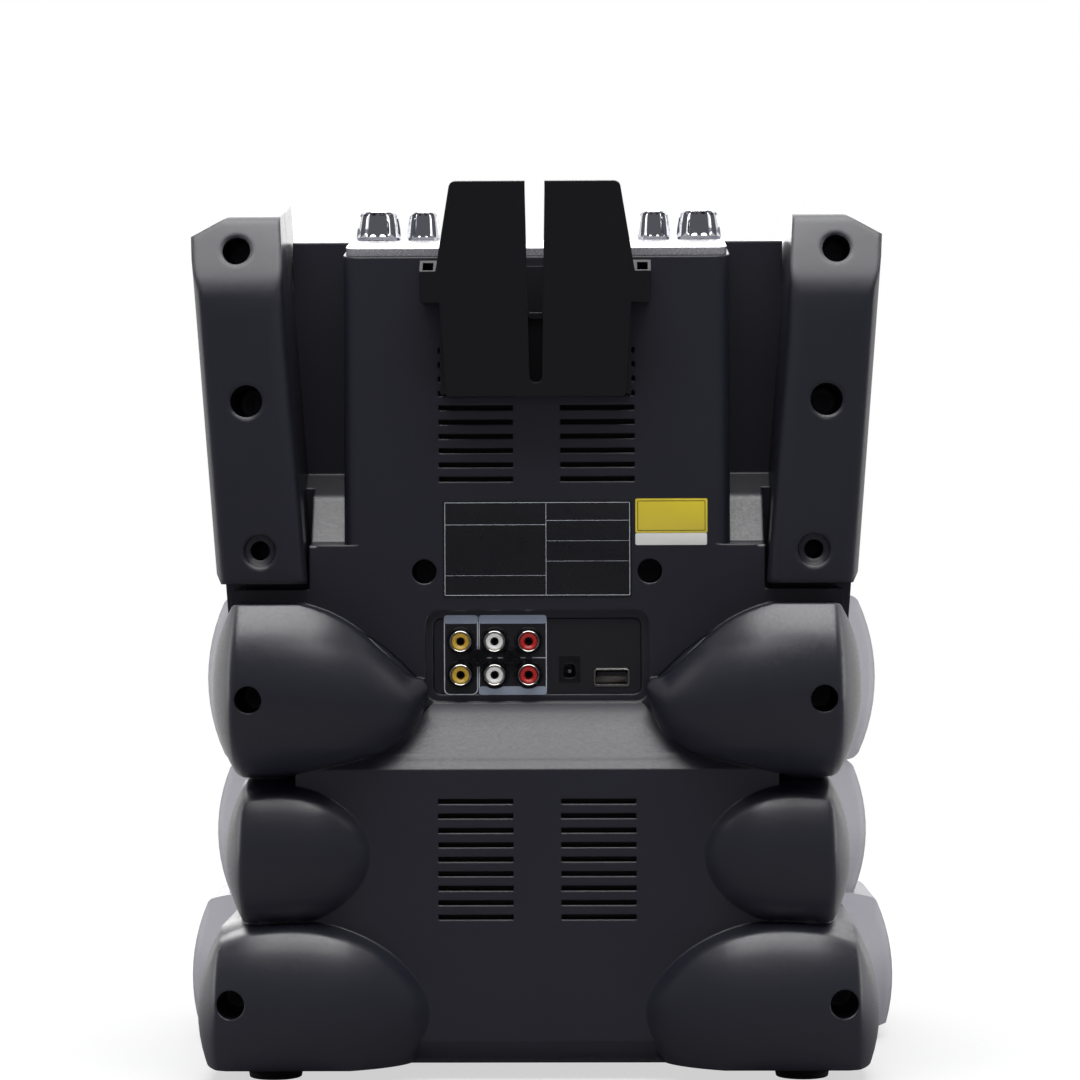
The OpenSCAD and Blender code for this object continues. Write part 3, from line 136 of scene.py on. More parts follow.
def makeStudio(p):
    for name, place, size, watts in p["lamps"]:
        data = bpy.data.lights.new(name, "AREA")
        data.shape = "RECTANGLE"
        data.size, data.size_y = size
        data.energy = watts
        lamp = bpy.data.objects.new(name, data)
        aim = Vector(p["aim"]) - Vector(place)
        lamp.matrix_world = (Matrix.Translation(Vector(place))
                             @ aim.to_track_quat("-Z", "Y").to_matrix().to_4x4())
        bpy.context.scene.collection.objects.link(lamp)

    # the sweep is lit behind the machine; towards the camera the room is dim
    world = bpy.data.worlds.new("whiteSweep")
    world.use_nodes = True
    tree = world.node_tree
    tree.nodes.clear()
    where = addNode(tree, "ShaderNodeTexCoord")
    path, seen = litSweep(tree, where.outputs["Generated"], p["roomFade"])
    through = addNode(tree, "ShaderNodeMath", {"operation": "MAXIMUM"},
                      {0: seen.outputs[0], 1: path.outputs["Is Transmission Ray"]})
    dim = addNode(tree, "ShaderNodeBackground",
                  {"Color": linear(p["roomTint"]), "Strength": p["roomLight"]})
    white = addNode(tree, "ShaderNodeBackground", {"Color": (1, 1, 1, 1), "Strength": 1.0})
    mix = addNode(tree, "ShaderNodeMixShader",
                  links={0: through.outputs[0], 1: dim.outputs[0], 2: white.outputs[0]})
    addNode(tree, "ShaderNodeOutputWorld", links={"Surface": mix.outputs[0]})
    bpy.context.scene.world = world

    half = p["floorHalf"]
    mesh = bpy.data.meshes.new("floor")
    mesh.from_pydata([(-half, -half, 0), (half, -half, 0), (half, half, 0), (-half, half, 0)], [],
                     [(0, 1, 2, 3)])
    floor = bpy.data.objects.new("floor", mesh)
    bpy.context.scene.collection.objects.link(floor)

    # paper: matte near the machine, where it shows the shadow, and glowing white further out
    paper = bpy.data.materials.new("whitePaperSweep")
    paper.use_nodes = True
    tree = paper.node_tree
    tree.nodes.clear()
    coords = addNode(tree, "ShaderNodeTexCoord")
    away = addNode(tree, "ShaderNodeVectorMath", {"operation": "LENGTH"}, {0: coords.outputs["Object"]})
    near = addNode(tree, "ShaderNodeMapRange",
                   {"interpolation_type": "SMOOTHSTEP", "From Min": p["shadowReach"][0],
                    "From Max": p["shadowReach"][1], "To Min": p["shadowGlow"], "To Max": 1.0},
                   {"Value": away.outputs["Value"]})
    path, seen = litSweep(tree, coords.outputs["Object"], p["floorFade"])
    share = addNode(tree, "ShaderNodeMath", {"operation": "MULTIPLY"},
                    {0: near.outputs[0], 1: seen.outputs[0]})
    tint = addNode(tree, "ShaderNodeMix",
                   {"data_type": "RGBA", 6: linear(p["paper"]), 7: linear(p["paperInGloss"])},
                   {0: path.outputs["Is Glossy Ray"]})
    matte = addNode(tree, "ShaderNodeBsdfDiffuse", links={"Color": tint.outputs[2]})
    glow = addNode(tree, "ShaderNodeEmission", {"Color": (1, 1, 1, 1), "Strength": 1.0})
    mix = addNode(tree, "ShaderNodeMixShader",
                  links={0: share.outputs[0], 1: matte.outputs[0], 2: glow.outputs[0]})
    addNode(tree, "ShaderNodeOutputMaterial", links={"Surface": mix.outputs[0]})
    mesh.materials.append(paper)


makeStudio(studio)
bpy.context.scene.view_settings.view_transform = "Standard"
print("camera, lamps and floor made")


def startMaterial(name, hexColour, roughness, metallic=0.0, more=None):
    # an empty surface with its fixed values; returns material, tree, shader and object coordinates
    material = bpy.data.materials.new(name)
    material.use_nodes = True
    tree = material.node_tree
    tree.nodes.clear()
    shader = addNode(tree, "ShaderNodeBsdfPrincipled",
                     {"Base Color": linear(hexColour), "Roughness": roughness, "Metallic": metallic})
    for key, value in (more or {}).items():
        shader.inputs[key].default_value = value
    addNode(tree, "ShaderNodeOutputMaterial", links={"Surface": shader.outputs[0]})
    coords = addNode(tree, "ShaderNodeTexCoord")
    material.diffuse_color = linear(hexColour)
    return material, tree, shader, coords.outputs["Object"]


def grainAndEdge(tree, shader, p, grain, depthMm, edgeSamples):
    # the grain moves the roughness by up to spread either way and gives the bump; edgeMm is the small
    # radius along every edge
    gloss = addNode(tree, "ShaderNodeMapRange",
                    {"From Min": 0.3, "From Max": 0.7, "To Min": max(p["roughness"] - p["spread"], 0.02),
                     "To Max": p["roughness"] + p["spread"]}, {"Value": grain.outputs["Fac"]})
    tree.links.new(gloss.outputs[0], shader.inputs["Roughness"])
    bump = addNode(tree, "ShaderNodeBump", {"Strength": p["bump"], "Distance": depthMm * mm},
                   {"Height": grain.outputs["Fac"]})
    if p.get("edgeMm"):
        edge = addNode(tree, "ShaderNodeBevel", {"samples": edgeSamples, "Radius": p["edgeMm"] * mm})
        tree.links.new(edge.outputs[0], bump.inputs["Normal"])
    tree.links.new(bump.outputs[0], shader.inputs["Normal"])


def mouldedPlastic(name, p):
    # plastic, rubber or print with an even skin: faint clouds in the colour, fine grain in the gloss
    material, tree, shader, place = startMaterial(name, p["colour"], p["roughness"], more=p.get("more"))
    clouds = addNode(tree, "ShaderNodeTexNoise",
                     {"Scale": 1 / (p.get("cloudMm", 60) * mm), "Detail": 3.0}, {"Vector": place})
    tint = addNode(tree, "ShaderNodeMix",
                   {"data_type": "RGBA", 6: linear(p["colour"]), 7: linear(p["worn"])},
                   {0: clouds.outputs["Fac"]})
    tree.links.new(tint.outputs[2], shader.inputs["Base Color"])
    grain = addNode(tree, "ShaderNodeTexNoise", {"Scale": 1 / (p["grainMm"] * mm), "Detail": 2.0},
                    {"Vector": place})
    grainAndEdge(tree, shader, p, grain, 0.05, 6)
    return material


def platedMetal(name, p):
    # electroplated or turned metal: almost even, with a faint waviness and wiped marks in the gloss
    material, tree, shader, place = startMaterial(name, p["colour"], p["roughness"], 1.0)
    marks = addNode(tree, "ShaderNodeTexNoise", {"Scale": 1 / (p["grainMm"] * mm), "Detail": 4.0},
                    {"Vector": place})
    grainAndEdge(tree, shader, p, marks, 0.02, 4)
    return material


finishes = {
    # satin black ABS with a blue cast, spark-eroded mould: broad soft highlights, crisp thin edges
    "blackAbs": mouldedPlastic("sparkErodedBlackAbs", {
        "colour": "#1b1b25", "worn": "#20202b", "roughness": 0.34, "spread": 0.05, "grainMm": 0.9,
        "bump": 0.25, "edgeMm": 1.1, "cloudMm": 70, "more": {"Specular IOR Level": 0.8}}),
    # the handle covers are the same black with a larger radius along their edges
    "coverAbs": mouldedPlastic("sparkErodedBlackAbsCover", {
        "colour": "#1b1b25", "worn": "#20202b", "roughness": 0.34, "spread": 0.05, "grainMm": 0.9,
        "bump": 0.25, "edgeMm": 3.2, "cloudMm": 70, "more": {"Specular IOR Level": 0.8}}),
    # flatter black for the cradle, with a finer grain
    "cradleAbs": mouldedPlastic("matteBlackAbs", {
        "colour": "#0f0f14", "worn": "#141419", "roughness": 0.46, "spread": 0.05, "grainMm": 0.8,
        "bump": 0.3, "edgeMm": 0.5, "cloudMm": 50}),
    # silver lacquer over ABS: metallic flake gives a soft sheen, never a mirror
    "silverLacquer": mouldedPlastic("silverLacqueredAbs", {
        "colour": "#82808b", "worn": "#8d8b96", "roughness": 0.36, "spread": 0.06, "grainMm": 0.5,
        "bump": 0.12, "edgeMm": 0.8, "cloudMm": 90,
        "more": {"Metallic": 0.45, "Coat Weight": 0.3, "Coat Roughness": 0.15}}),
    # piano-black styrene, polished mould
    "pianoBlack": mouldedPlastic("polishedBlackStyrene", {
        "colour": "#08080a", "worn": "#0b0b0e", "roughness": 0.09, "spread": 0.025, "grainMm": 6.0,
        "bump": 0.03, "edgeMm": 0.5, "cloudMm": 40}),
    "loaderBlack": mouldedPlastic("blackPolystyrene", {
        "colour": "#17171a", "worn": "#202024", "roughness": 0.42, "spread": 0.06, "grainMm": 0.8,
        "bump": 0.25, "edgeMm": 0.4, "cloudMm": 30}),
    # natural acetal gears: waxy off-white
    "acetal": mouldedPlastic("naturalAcetal", {
        "colour": "#ded8c4", "worn": "#cfc8b2", "roughness": 0.38, "spread": 0.05, "grainMm": 1.2,
        "bump": 0.12, "edgeMm": 0.15, "cloudMm": 12,
        "more": {"Subsurface Weight": 0.1, "Subsurface Radius": (0.002, 0.0018, 0.0015)}}),
    "yellowPlug": mouldedPlastic("yellowPolypropylene", {
        "colour": "#c9a53a", "worn": "#b8922c", "roughness": 0.3, "spread": 0.05, "grainMm": 0.6,
        "bump": 0.1}),
    "whitePlug": mouldedPlastic("whitePolypropylene", {
        "colour": "#e6e5e2", "worn": "#d8d7d4", "roughness": 0.3, "spread": 0.05, "grainMm": 0.6,
        "bump": 0.1}),
    "redPlug": mouldedPlastic("redPolypropylene", {
        "colour": "#c0251f", "worn": "#a51c19", "roughness": 0.3, "spread": 0.05, "grainMm": 0.6,
        "bump": 0.1}),
    # moulded rubber: dull, with bloom clouds
    "rubber": mouldedPlastic("mouldedNitrileRubber", {
        "colour": "#141415", "worn": "#1f1f20", "roughness": 0.72, "spread": 0.08, "grainMm": 1.5,
        "bump": 0.4, "cloudMm": 9}),
    "milkyAcrylic": mouldedPlastic("milkyAcrylic", {
        "colour": "#e8eaee", "worn": "#dfe2e8", "roughness": 0.22, "spread": 0.04, "grainMm": 3.0,
        "bump": 0.05, "edgeMm": 0.3,
        "more": {"Subsurface Weight": 0.3, "Subsurface Radius": (0.004, 0.004, 0.005)}}),
    "smokedAcrylic": mouldedPlastic("smokedAcrylic", {
        "colour": "#050507", "worn": "#07070a", "roughness": 0.05, "spread": 0.015, "grainMm": 12.0,
        "bump": 0.01, "edgeMm": 0.3}),
    "chrome": platedMetal("bathChromedAbs", {
        "colour": "#d6d7db", "roughness": 0.09, "spread": 0.04, "grainMm": 2.0, "bump": 0.05,
        "edgeMm": 0.15}),
    "nickel": platedMetal("nickelPlatedSteel", {
        "colour": "#c4c1ba", "roughness": 0.2, "spread": 0.06, "grainMm": 0.8, "bump": 0.12,
        "edgeMm": 0.1}),
    "blackZinc": platedMetal("blackZincPlatedSteel", {
        "colour": "#3a3a3e", "roughness": 0.34, "spread": 0.08, "grainMm": 0.6, "bump": 0.2,
        "edgeMm": 0.15}),
    "brightSteel": platedMetal("groundSteel", {
        "colour": "#b9babd", "roughness": 0.24, "spread": 0.07, "grainMm": 0.7, "bump": 0.12,
        "edgeMm": 0.2}),
    "paintedSteel": platedMetal("stovedBlackSteel", {
        "colour": "#2a2a2d", "roughness": 0.4, "spread": 0.08, "grainMm": 1.0, "bump": 0.2,
        "edgeMm": 0.4}),
    "brass": platedMetal("turnedBrass", {
        "colour": "#c9a24e", "roughness": 0.22, "spread": 0.06, "grainMm": 0.5, "bump": 0.15,
        "edgeMm": 0.1}),
    "ferrite": mouldedPlastic("sinteredFerrite", {
        "colour": "#2b2b2c", "worn": "#39393a", "roughness": 0.62, "spread": 0.1, "grainMm": 0.9,
        "bump": 0.6, "edgeMm": 0.4, "cloudMm": 14}),
    "pressedPaper": mouldedPlastic("pressedPaperPulp", {
        "colour": "#161616", "worn": "#232322", "roughness": 0.82, "spread": 0.08, "grainMm": 1.6,
        "bump": 0.8, "cloudMm": 4}),
    "screenGlass": mouldedPlastic("lcdSandwich", {
        "colour": "#2c2e33", "worn": "#34363c", "roughness": 0.3, "spread": 0.05, "grainMm": 2.0,
        "bump": 0.05, "edgeMm": 0.3}),
    "silverPlate": mouldedPlastic("silverPrintedStyrene", {
        "colour": "#a9a9ae", "worn": "#b5b5ba", "roughness": 0.26, "spread": 0.05, "grainMm": 0.6,
        "bump": 0.1, "edgeMm": 0.5, "more": {"Metallic": 0.5}}),
    # label foil: polyester film over print, an even low gloss
    "labelFoil": mouldedPlastic("matteBlackPolyesterFoil", {
        "colour": "#161619", "worn": "#1b1b1f", "roughness": 0.3, "spread": 0.04, "grainMm": 2.5,
        "bump": 0.05}),
    "yellowFoil": mouldedPlastic("yellowVinylFoil", {
        "colour": "#d9c53c", "worn": "#cfbb30", "roughness": 0.34, "spread": 0.05, "grainMm": 2.0,
        "bump": 0.05}),
    "whiteFoil": mouldedPlastic("whitePaperLabel", {
        "colour": "#d9d9d6", "worn": "#cfcfcb", "roughness": 0.5, "spread": 0.06, "grainMm": 1.0,
        "bump": 0.1}),
    "printInk": mouldedPlastic("greyScreenInk", {
        "colour": "#8f98a8", "worn": "#848da0", "roughness": 0.45, "spread": 0.05, "grainMm": 0.8,
        "bump": 0.1}),
    "lineInk": mouldedPlastic("whiteScreenInk", {
        "colour": "#b9bdc4", "worn": "#a9adb5", "roughness": 0.5, "spread": 0.05, "grainMm": 0.8,
        "bump": 0.1}),
}


boardPattern = {
    "roughness": 0.32,
    "trackMm": (9.0, 2.2),      # length and spacing of the tracks
    "gapMm": 0.35,
    "padPitchMm": 5.0,
    "padEdge": (0.10, 0.13),    # share of the pitch at which a pad ends
    "pad": "#b3ad96",
}


def circuitBoard(name, mask, track, edge, turn):
    # glass-epoxy board under solder mask: tracks and bare pads on an even ground, glossy
    p = boardPattern
    material, tree, shader, place = startMaterial(name, mask, p["roughness"])
    tracks = addNode(tree, "ShaderNodeTexBrick",
                     {"Color1": linear(mask), "Color2": linear(track), "Mortar": linear(edge),
                      "Scale": 1.0, "Mortar Size": p["gapMm"] * mm, "Brick Width": p["trackMm"][0] * mm,
                      "Row Height": p["trackMm"][1] * mm, "Bias": -0.3})
    laid = addNode(tree, "ShaderNodeMapping", {"Rotation": turn}, {"Vector": place})
    tree.links.new(laid.outputs[0], tracks.inputs["Vector"])
    dots = addNode(tree, "ShaderNodeTexVoronoi", {"Scale": 1 / (p["padPitchMm"] * mm)},
                   {"Vector": place})
    pad = addNode(tree, "ShaderNodeMapRange",
                  {"From Min": p["padEdge"][0], "From Max": p["padEdge"][1], "To Min": 1.0, "To Max": 0.0},
                  {"Value": dots.outputs["Distance"]})
    colour = addNode(tree, "ShaderNodeMix", {"data_type": "RGBA", 7: linear(p["pad"])},
                     {0: pad.outputs[0], 6: tracks.outputs["Color"]})
    tree.links.new(colour.outputs[2], shader.inputs["Base Color"])
    bump = addNode(tree, "ShaderNodeBump", {"Strength": 0.3, "Distance": 0.06 * mm},
                   {"Height": tracks.outputs["Fac"]})
    tree.links.new(bump.outputs[0], shader.inputs["Normal"])
    return material


quarterTurn = (math.pi / 2, 0, 0)    # upright boards show the pattern from the rear
finishes["boardRear"] = circuitBoard("glassEpoxyBoardUpright", "#14532c", "#1d6a39", "#0e3f21",
                                     quarterTurn)
finishes["boardFlat"] = circuitBoard("glassEpoxyBoardFlat", "#14532c", "#1d6a39", "#0e3f21", (0, 0, 0))
finishes["boardWhite"] = circuitBoard("whiteMaskedLampBoard", "#dfe2df", "#cfd3cf", "#b9bdb8",
                                      quarterTurn)
print("finishes made:", len(finishes))


# finish of every carried-over node
nodeFinish = {
    "rear_shell": "blackAbs", "front_shell": "silverLacquer", "fascia_panel": "pianoBlack",
    "top_plate": "silverPlate", "control_board": "boardFlat", "handle_cover_left": "coverAbs",
    "handle_cover_right": "coverAbs", "phone_cradle": "cradleAbs", "io_panel": "loaderBlack",
    "phono_collars": "nickel", "phono_yellow": "yellowPlug", "phono_white": "whitePlug",
    "phono_red": "redPlug", "dc_jack": "loaderBlack", "usb_port": "nickel", "rating_plate": "labelFoil",
    "screws": "blackZinc", "rubber_feet": "rubber", "potentiometers": "brightSteel",
    "main_board": "boardRear", "io_board": "boardRear", "lcd_module": "screenGlass",
    "screen_lens": "smokedAcrylic", "button_board": "boardRear", "mic_jacks": "nickel",
    "speaker_grille": "loaderBlack", "woofer_basket": "paintedSteel", "woofer_magnet": "ferrite",
    "woofer_surround": "rubber", "woofer_cone": "pressedPaper", "light_ring": "milkyAcrylic",
    "light_board": "boardWhite", "loader_frame": "loaderBlack", "disc_tray": "loaderBlack",
    "tray_door": "pianoBlack", "loader_motor": "brightSteel", "motor_pulley": "brass",
    "drive_belt": "rubber", "belt_wheel": "acetal", "drive_gear": "acetal",
    "traverse_chassis": "loaderBlack", "spindle_motor": "brightSteel", "turntable": "acetal",
    "pickup_sled": "loaderBlack", "guide_rods": "brightSteel", "feed_screw": "brightSteel",
    "clamp_bridge": "brightSteel", "clamp_puck": "acetal",
}


sharpAngle = 32     # degrees; edges sharper than this stay sharp
weldMm = 0.004      # corners of loose triangles closer than this are one


def dressNode(name, finish):
    # a carried-over node: its loose triangles are welded and split again along its sharp edges
    piece = nodes[name]
    piece.data.materials.clear()
    piece.data.materials.append(finishes[finish])
    piece.data.polygons.foreach_set("use_smooth", np.ones(len(piece.data.polygons), bool))
    weld = piece.modifiers.new("weld", "WELD")
    weld.merge_threshold = weldMm * mm
    split = piece.modifiers.new("sharp", "EDGE_SPLIT")
    split.split_angle = math.radians(sharpAngle)


for name in nodes:
    knobOrButton = "knob" in name or (name.startswith("button_") and name != "button_board")
    dressNode(name, "chrome" if knobOrButton else nodeFinish[name])
print("nodes dressed")


# helpers for new pieces; points are in millimetres, in the machine's own frame
def gridFaces(rows, columns, closed):
    # quads between neighbouring rows and columns of a grid; closed joins the last column to the first
    last = columns if closed else columns - 1
    r, c = np.meshgrid(np.arange(rows - 1), np.arange(last), indexing="ij")
    nextC = (c + 1) % columns
    quads = np.stack([r * columns + c, r * columns + nextC, (r + 1) * columns + nextC,
                      (r + 1) * columns + c], -1)
    return quads.reshape(-1, 4).tolist()


def joined(*parts):
    # several (points, faces) as one
    points, faces, base = [], [], 0
    for p, f in parts:
        points.append(np.asarray(p, float))
        faces += [tuple(i + base for i in face) for face in f]
        base += len(p)
    return np.vstack(points), faces


def turned(profile, steps=64, ripple=None):
    # a profile of (radius, height) carried round an axis; ripple(angle, height) shortens the radius
    profile = np.asarray(profile, float)
    angle = np.arange(steps) * 2 * np.pi / steps
    radius = np.repeat(profile[:, :1], steps, 1)
    height = np.repeat(profile[:, 1:], steps, 1)
    if ripple is not None:
        radius = radius - ripple(angle[None, :], height)
    points = np.stack([radius * np.cos(angle), radius * np.sin(angle), height], -1).reshape(-1, 3)
    return points, gridFaces(len(profile), steps, True)


def alongY(part, x, z):
    # the part's own axis turned to run along Y through (x, z)
    points, faces = part
    return np.stack([x + points[:, 0], points[:, 2], z + points[:, 1]], -1), faces


def upright(part, x, y):
    # the part's own axis stays along Z and moves to (x, y)
    points, faces = part
    return points + np.array([x, y, 0.0]), faces


def roundedOutline(x0, z0, x1, z1, r, steps=6):
    # corners of a rectangle replaced by quarter circles, anticlockwise
    a = np.linspace(0, np.pi / 2, steps + 1)
    centres = [(x1 - r, z1 - r), (x0 + r, z1 - r), (x0 + r, z0 + r), (x1 - r, z0 + r)]
    corners = [np.stack([cx + r * np.cos(a + k * np.pi / 2), cz + r * np.sin(a + k * np.pi / 2)], -1)
               for k, (cx, cz) in enumerate(centres)]
    return np.vstack(corners)


def insetOutline(outline, d):
    # each point moved inwards along the mean normal of its two sides
    before = outline - np.roll(outline, 1, 0)
    after = np.roll(outline, -1, 0) - outline
    n = np.stack([before[:, 1] + after[:, 1], -before[:, 0] - after[:, 0]], -1)
    n /= np.maximum(np.linalg.norm(n, axis=1, keepdims=True), 1e-9)
    return outline - n * d


def atY(outline, y):
    # an outline in x and z as points at one y
    return np.stack([outline[:, 0], np.full(len(outline), float(y)), outline[:, 1]], -1)


def plate(outline, y0, y1, edge, steps=3):
    # an outline in x and z carried from y0 to y1, its front and rear edges rounded by quarter circles
    a = np.linspace(0, np.pi / 2, steps + 1)
    rows = [(edge - edge * np.sin(t), y0 + edge - edge * np.cos(t)) for t in a]
    rows += [(edge - edge * np.cos(t), y1 - edge + edge * np.sin(t)) for t in a]
    count = len(outline)
    faces = gridFaces(len(rows), count, True)
    faces.append(tuple(range(count)))
    faces.append(tuple(range((len(rows) - 1) * count, len(rows) * count)))
    return np.vstack([atY(insetOutline(outline, d), y) for d, y in rows]), faces


def framePlate(outer, inner, y0, y1):
    # a flat frame between two outlines with the same number of points
    loops = [(outer, y0), (outer, y1), (inner, y1), (inner, y0), (outer, y0)]
    return np.vstack([atY(o, y) for o, y in loops]), gridFaces(len(loops), len(outer), True)


def box(x0, y0, z0, x1, y1, z1, edge=0.05):
    # a rectangular plate whose corners and edges have the same small radius
    return plate(roundedOutline(min(x0, x1), z0, max(x0, x1), z1, edge, 2), y0, y1, edge, 2)


def circleAt(outline, x, z, r):
    # each point of an outline moved along its ray from (x, z) to the circle of radius r
    angle = np.arctan2(outline[:, 1] - z, outline[:, 0] - x)
    return np.stack([x + r * np.cos(angle), z + r * np.sin(angle)], -1)


def asPiece(name, mesh, finish, sharp=sharpAngle):
    # a mesh as an object at the origin, smooth except along edges sharper than the angle in degrees
    mesh.materials.clear()
    mesh.materials.append(finishes[finish])
    mesh.polygons.foreach_set("use_smooth", np.ones(len(mesh.polygons), bool))
    piece = bpy.data.objects.new(name, mesh)
    bpy.context.scene.collection.objects.link(piece)
    split = piece.modifiers.new("sharp", "EDGE_SPLIT")
    split.split_angle = math.radians(sharp)
    return piece


def addPiece(name, part, finish, body, replaces=(), sharp=sharpAngle):
    # points and faces as a mesh in metres, its doubles merged and its faces turned outwards
    points, faces = part
    mesh = bpy.data.meshes.new(name)
    mesh.from_pydata((np.asarray(points) * mm).tolist(), [], faces)
    work = bmesh.new()
    work.from_mesh(mesh)
    bmesh.ops.remove_doubles(work, verts=work.verts, dist=0.002 * mm)
    bmesh.ops.dissolve_degenerate(work, edges=work.edges, dist=0.001 * mm)
    bmesh.ops.recalc_face_normals(work, faces=work.faces)
    work.to_mesh(mesh)
    work.free()
    piece = asPiece(name, mesh, finish, sharp)
    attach(piece, body)
    if replaces:
        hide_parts(*replaces)


def arc(cx, cy, r, a0, a1, steps):
    # points of a circle between two angles in degrees
    t = np.radians(np.linspace(a0, a1, steps))
    return np.stack([cx + r * np.cos(t), cy + r * np.sin(t)], -1)


# rear shell: the upper halves of the lobes are fuller than a round bar, and the top lobe leans inwards
lobeForm = {
    # axis y, axis z, radius at the crest, plane of the wall that it grows from
    "lobes": ((85.5, 149.0, 34.0, 78.0), (78.5, 86.0, 30.5, 93.0), (79.0, 26.0, 38.0, 93.0)),
    "ledge": 181.5,         # flat top of the upper lobes
    "slopeTop": 142.0,      # the slope between the two walls
    "slopeFoot": 118.5,
    "inner": 40.0,          # lobes lie outside this x
    "fullness": 0.35,       # how far the new arc's centre lies ahead of the axis, as a share of the radius
    "blend": 6.0,           # distance from the wall over which the change grows in
    "lean": 0.12,           # drop of the top lobe's axis for each millimetre inwards of its crest
    "crest": 105.0,         # x of that crest
    "leanFade": 12.0,       # height over which the lean fades out, below the ledge and above the foot
    "innerFade": (2.0, 7.0),    # start and length of its fade at the lobe's inner end
    "within": 0.05,         # how close to a surface a point counts as on it
}


def shapeRearShell(p):
    # at each point above a lobe's axis the arc of radius r is replaced by one of radius (1 + fullness) r
    # whose centre lies fullness x r ahead, so the crest stays and the upper edge moves back
    mesh = nodes["rear_shell"].data.copy()
    mesh.name = "rearShellShaped"
    work = bmesh.new()
    work.from_mesh(mesh)
    bmesh.ops.remove_doubles(work, verts=work.verts, dist=weldMm * mm)
    work.to_mesh(mesh)
    work.free()
    flat = np.empty(len(mesh.vertices) * 3)
    mesh.vertices.foreach_get("co", flat)
    points = flat.reshape(-1, 3) / mm
    x, y, z = points.T.copy()
    side = np.abs(x) > p["inner"]
    f = p["fullness"]
    near = p["within"]
    for i, (axisY, axisZ, crestRadius, wallY) in enumerate(p["lobes"]):
        dy, dz = y - axisY, z - axisZ
        radius = np.maximum(np.hypot(dy, dz), 0.01)
        rise = np.clip(dz / radius, 0, 1)
        move = radius * (np.sqrt((1 + f) ** 2 - rise ** 2) - f - np.sqrt(1 - rise ** 2))
        grow = np.clip((y - wallY) / p["blend"], 0, 1)
        grow = grow * grow * (3 - 2 * grow)
        mine = side & (radius < crestRadius + near) & (z < p["ledge"] + 0.01)
        points[:, 1] += np.where(mine, move * grow, 0)
        if i == 0:
            # drop = lean x distance inwards of the crest, faded out at the ledge, foot and inner end
            fade = np.clip((p["ledge"] - z) / p["leanFade"], 0, 1)
            fade *= np.clip((z - p["slopeFoot"]) / p["leanFade"], 0, 1)
            start, length = p["innerFade"]
            fade *= np.clip((np.abs(x) - p["inner"] - start) / length, 0, 1)
            drop = p["lean"] * np.maximum(p["crest"] - np.abs(x), 0) * fade
            drop = np.where(mine & (y > wallY - 0.01), drop, 0)
            points[:, 2] -= drop
            # what lies on the slope below the upper wall stays on it
            rate = (p["lobes"][1][3] - wallY) / (p["slopeTop"] - p["slopeFoot"])
            onSlope = np.abs(y - wallY - rate * (p["slopeTop"] - z)) < 2 * near
            lowered = wallY + rate * np.maximum(p["slopeTop"] - points[:, 2], 0)
            points[:, 1] = np.where(onSlope & (drop > 0), lowered, points[:, 1])
    mesh.vertices.foreach_set("co", (points * mm).ravel())
    mesh.update()
    piece = asPiece("rearShellShaped", mesh, "blackAbs")
    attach(piece, "casing")
    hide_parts("rear_shell")


shapeRearShell(lobeForm)

# painted shade: sheets of dull black felt behind both banks of vents, standing in for the shade inside the
# casing
ventShadeSheet = {
    "half": 41.0,
    "thick": 0.5,
    "upper": (74.7, 224.0, 284.0),      # front y, low z, high z
    "lower": (89.7, 58.0, 110.0),
}
# painted shade: near-black, fully rough felt, so that the vents read as dark slots
finishes["ventShadeFelt"] = mouldedPlastic("needledBlackFeltForShade", {
    "colour": "#0a0a0b", "worn": "#101011", "roughness": 0.95, "spread": 0.04, "grainMm": 0.7,
    "bump": 0.8, "cloudMm": 6})
for bank in ("upper", "lower"):
    y, low, high = ventShadeSheet[bank]
    shadeSheet = box(-ventShadeSheet["half"], y, low, ventShadeSheet["half"], y + ventShadeSheet["thick"], high, 0.15)
    addPiece(bank + "VentShadeSheet", shadeSheet, "ventShadeFelt", "casing")
print("rear shell shaped")


# knobs: chromed, fluted, a little conical, with a dished top and a marker
knob = {
    "names": {"big_knob_left": (65.0, 9.2), "small_knob_left": (46.8, 6.8),
              "small_knob_right": (-46.8, 6.8), "big_knob_right": (-65.0, 9.2)},
    "y": 2.0,
    "height": 12.5,
    "flutes": 14,
    "stepsPerFlute": 14,
    "fluteDepth": 0.62,         # of a big knob; the small ones have shallower flutes in proportion
    "topShare": 0.85,           # radius at the top as a share of that at the skirt
    "stem": (2.6, 3.0),         # radius at the stem's end and above it
    "shoulder": 1.8,            # radius between the side and the top
}


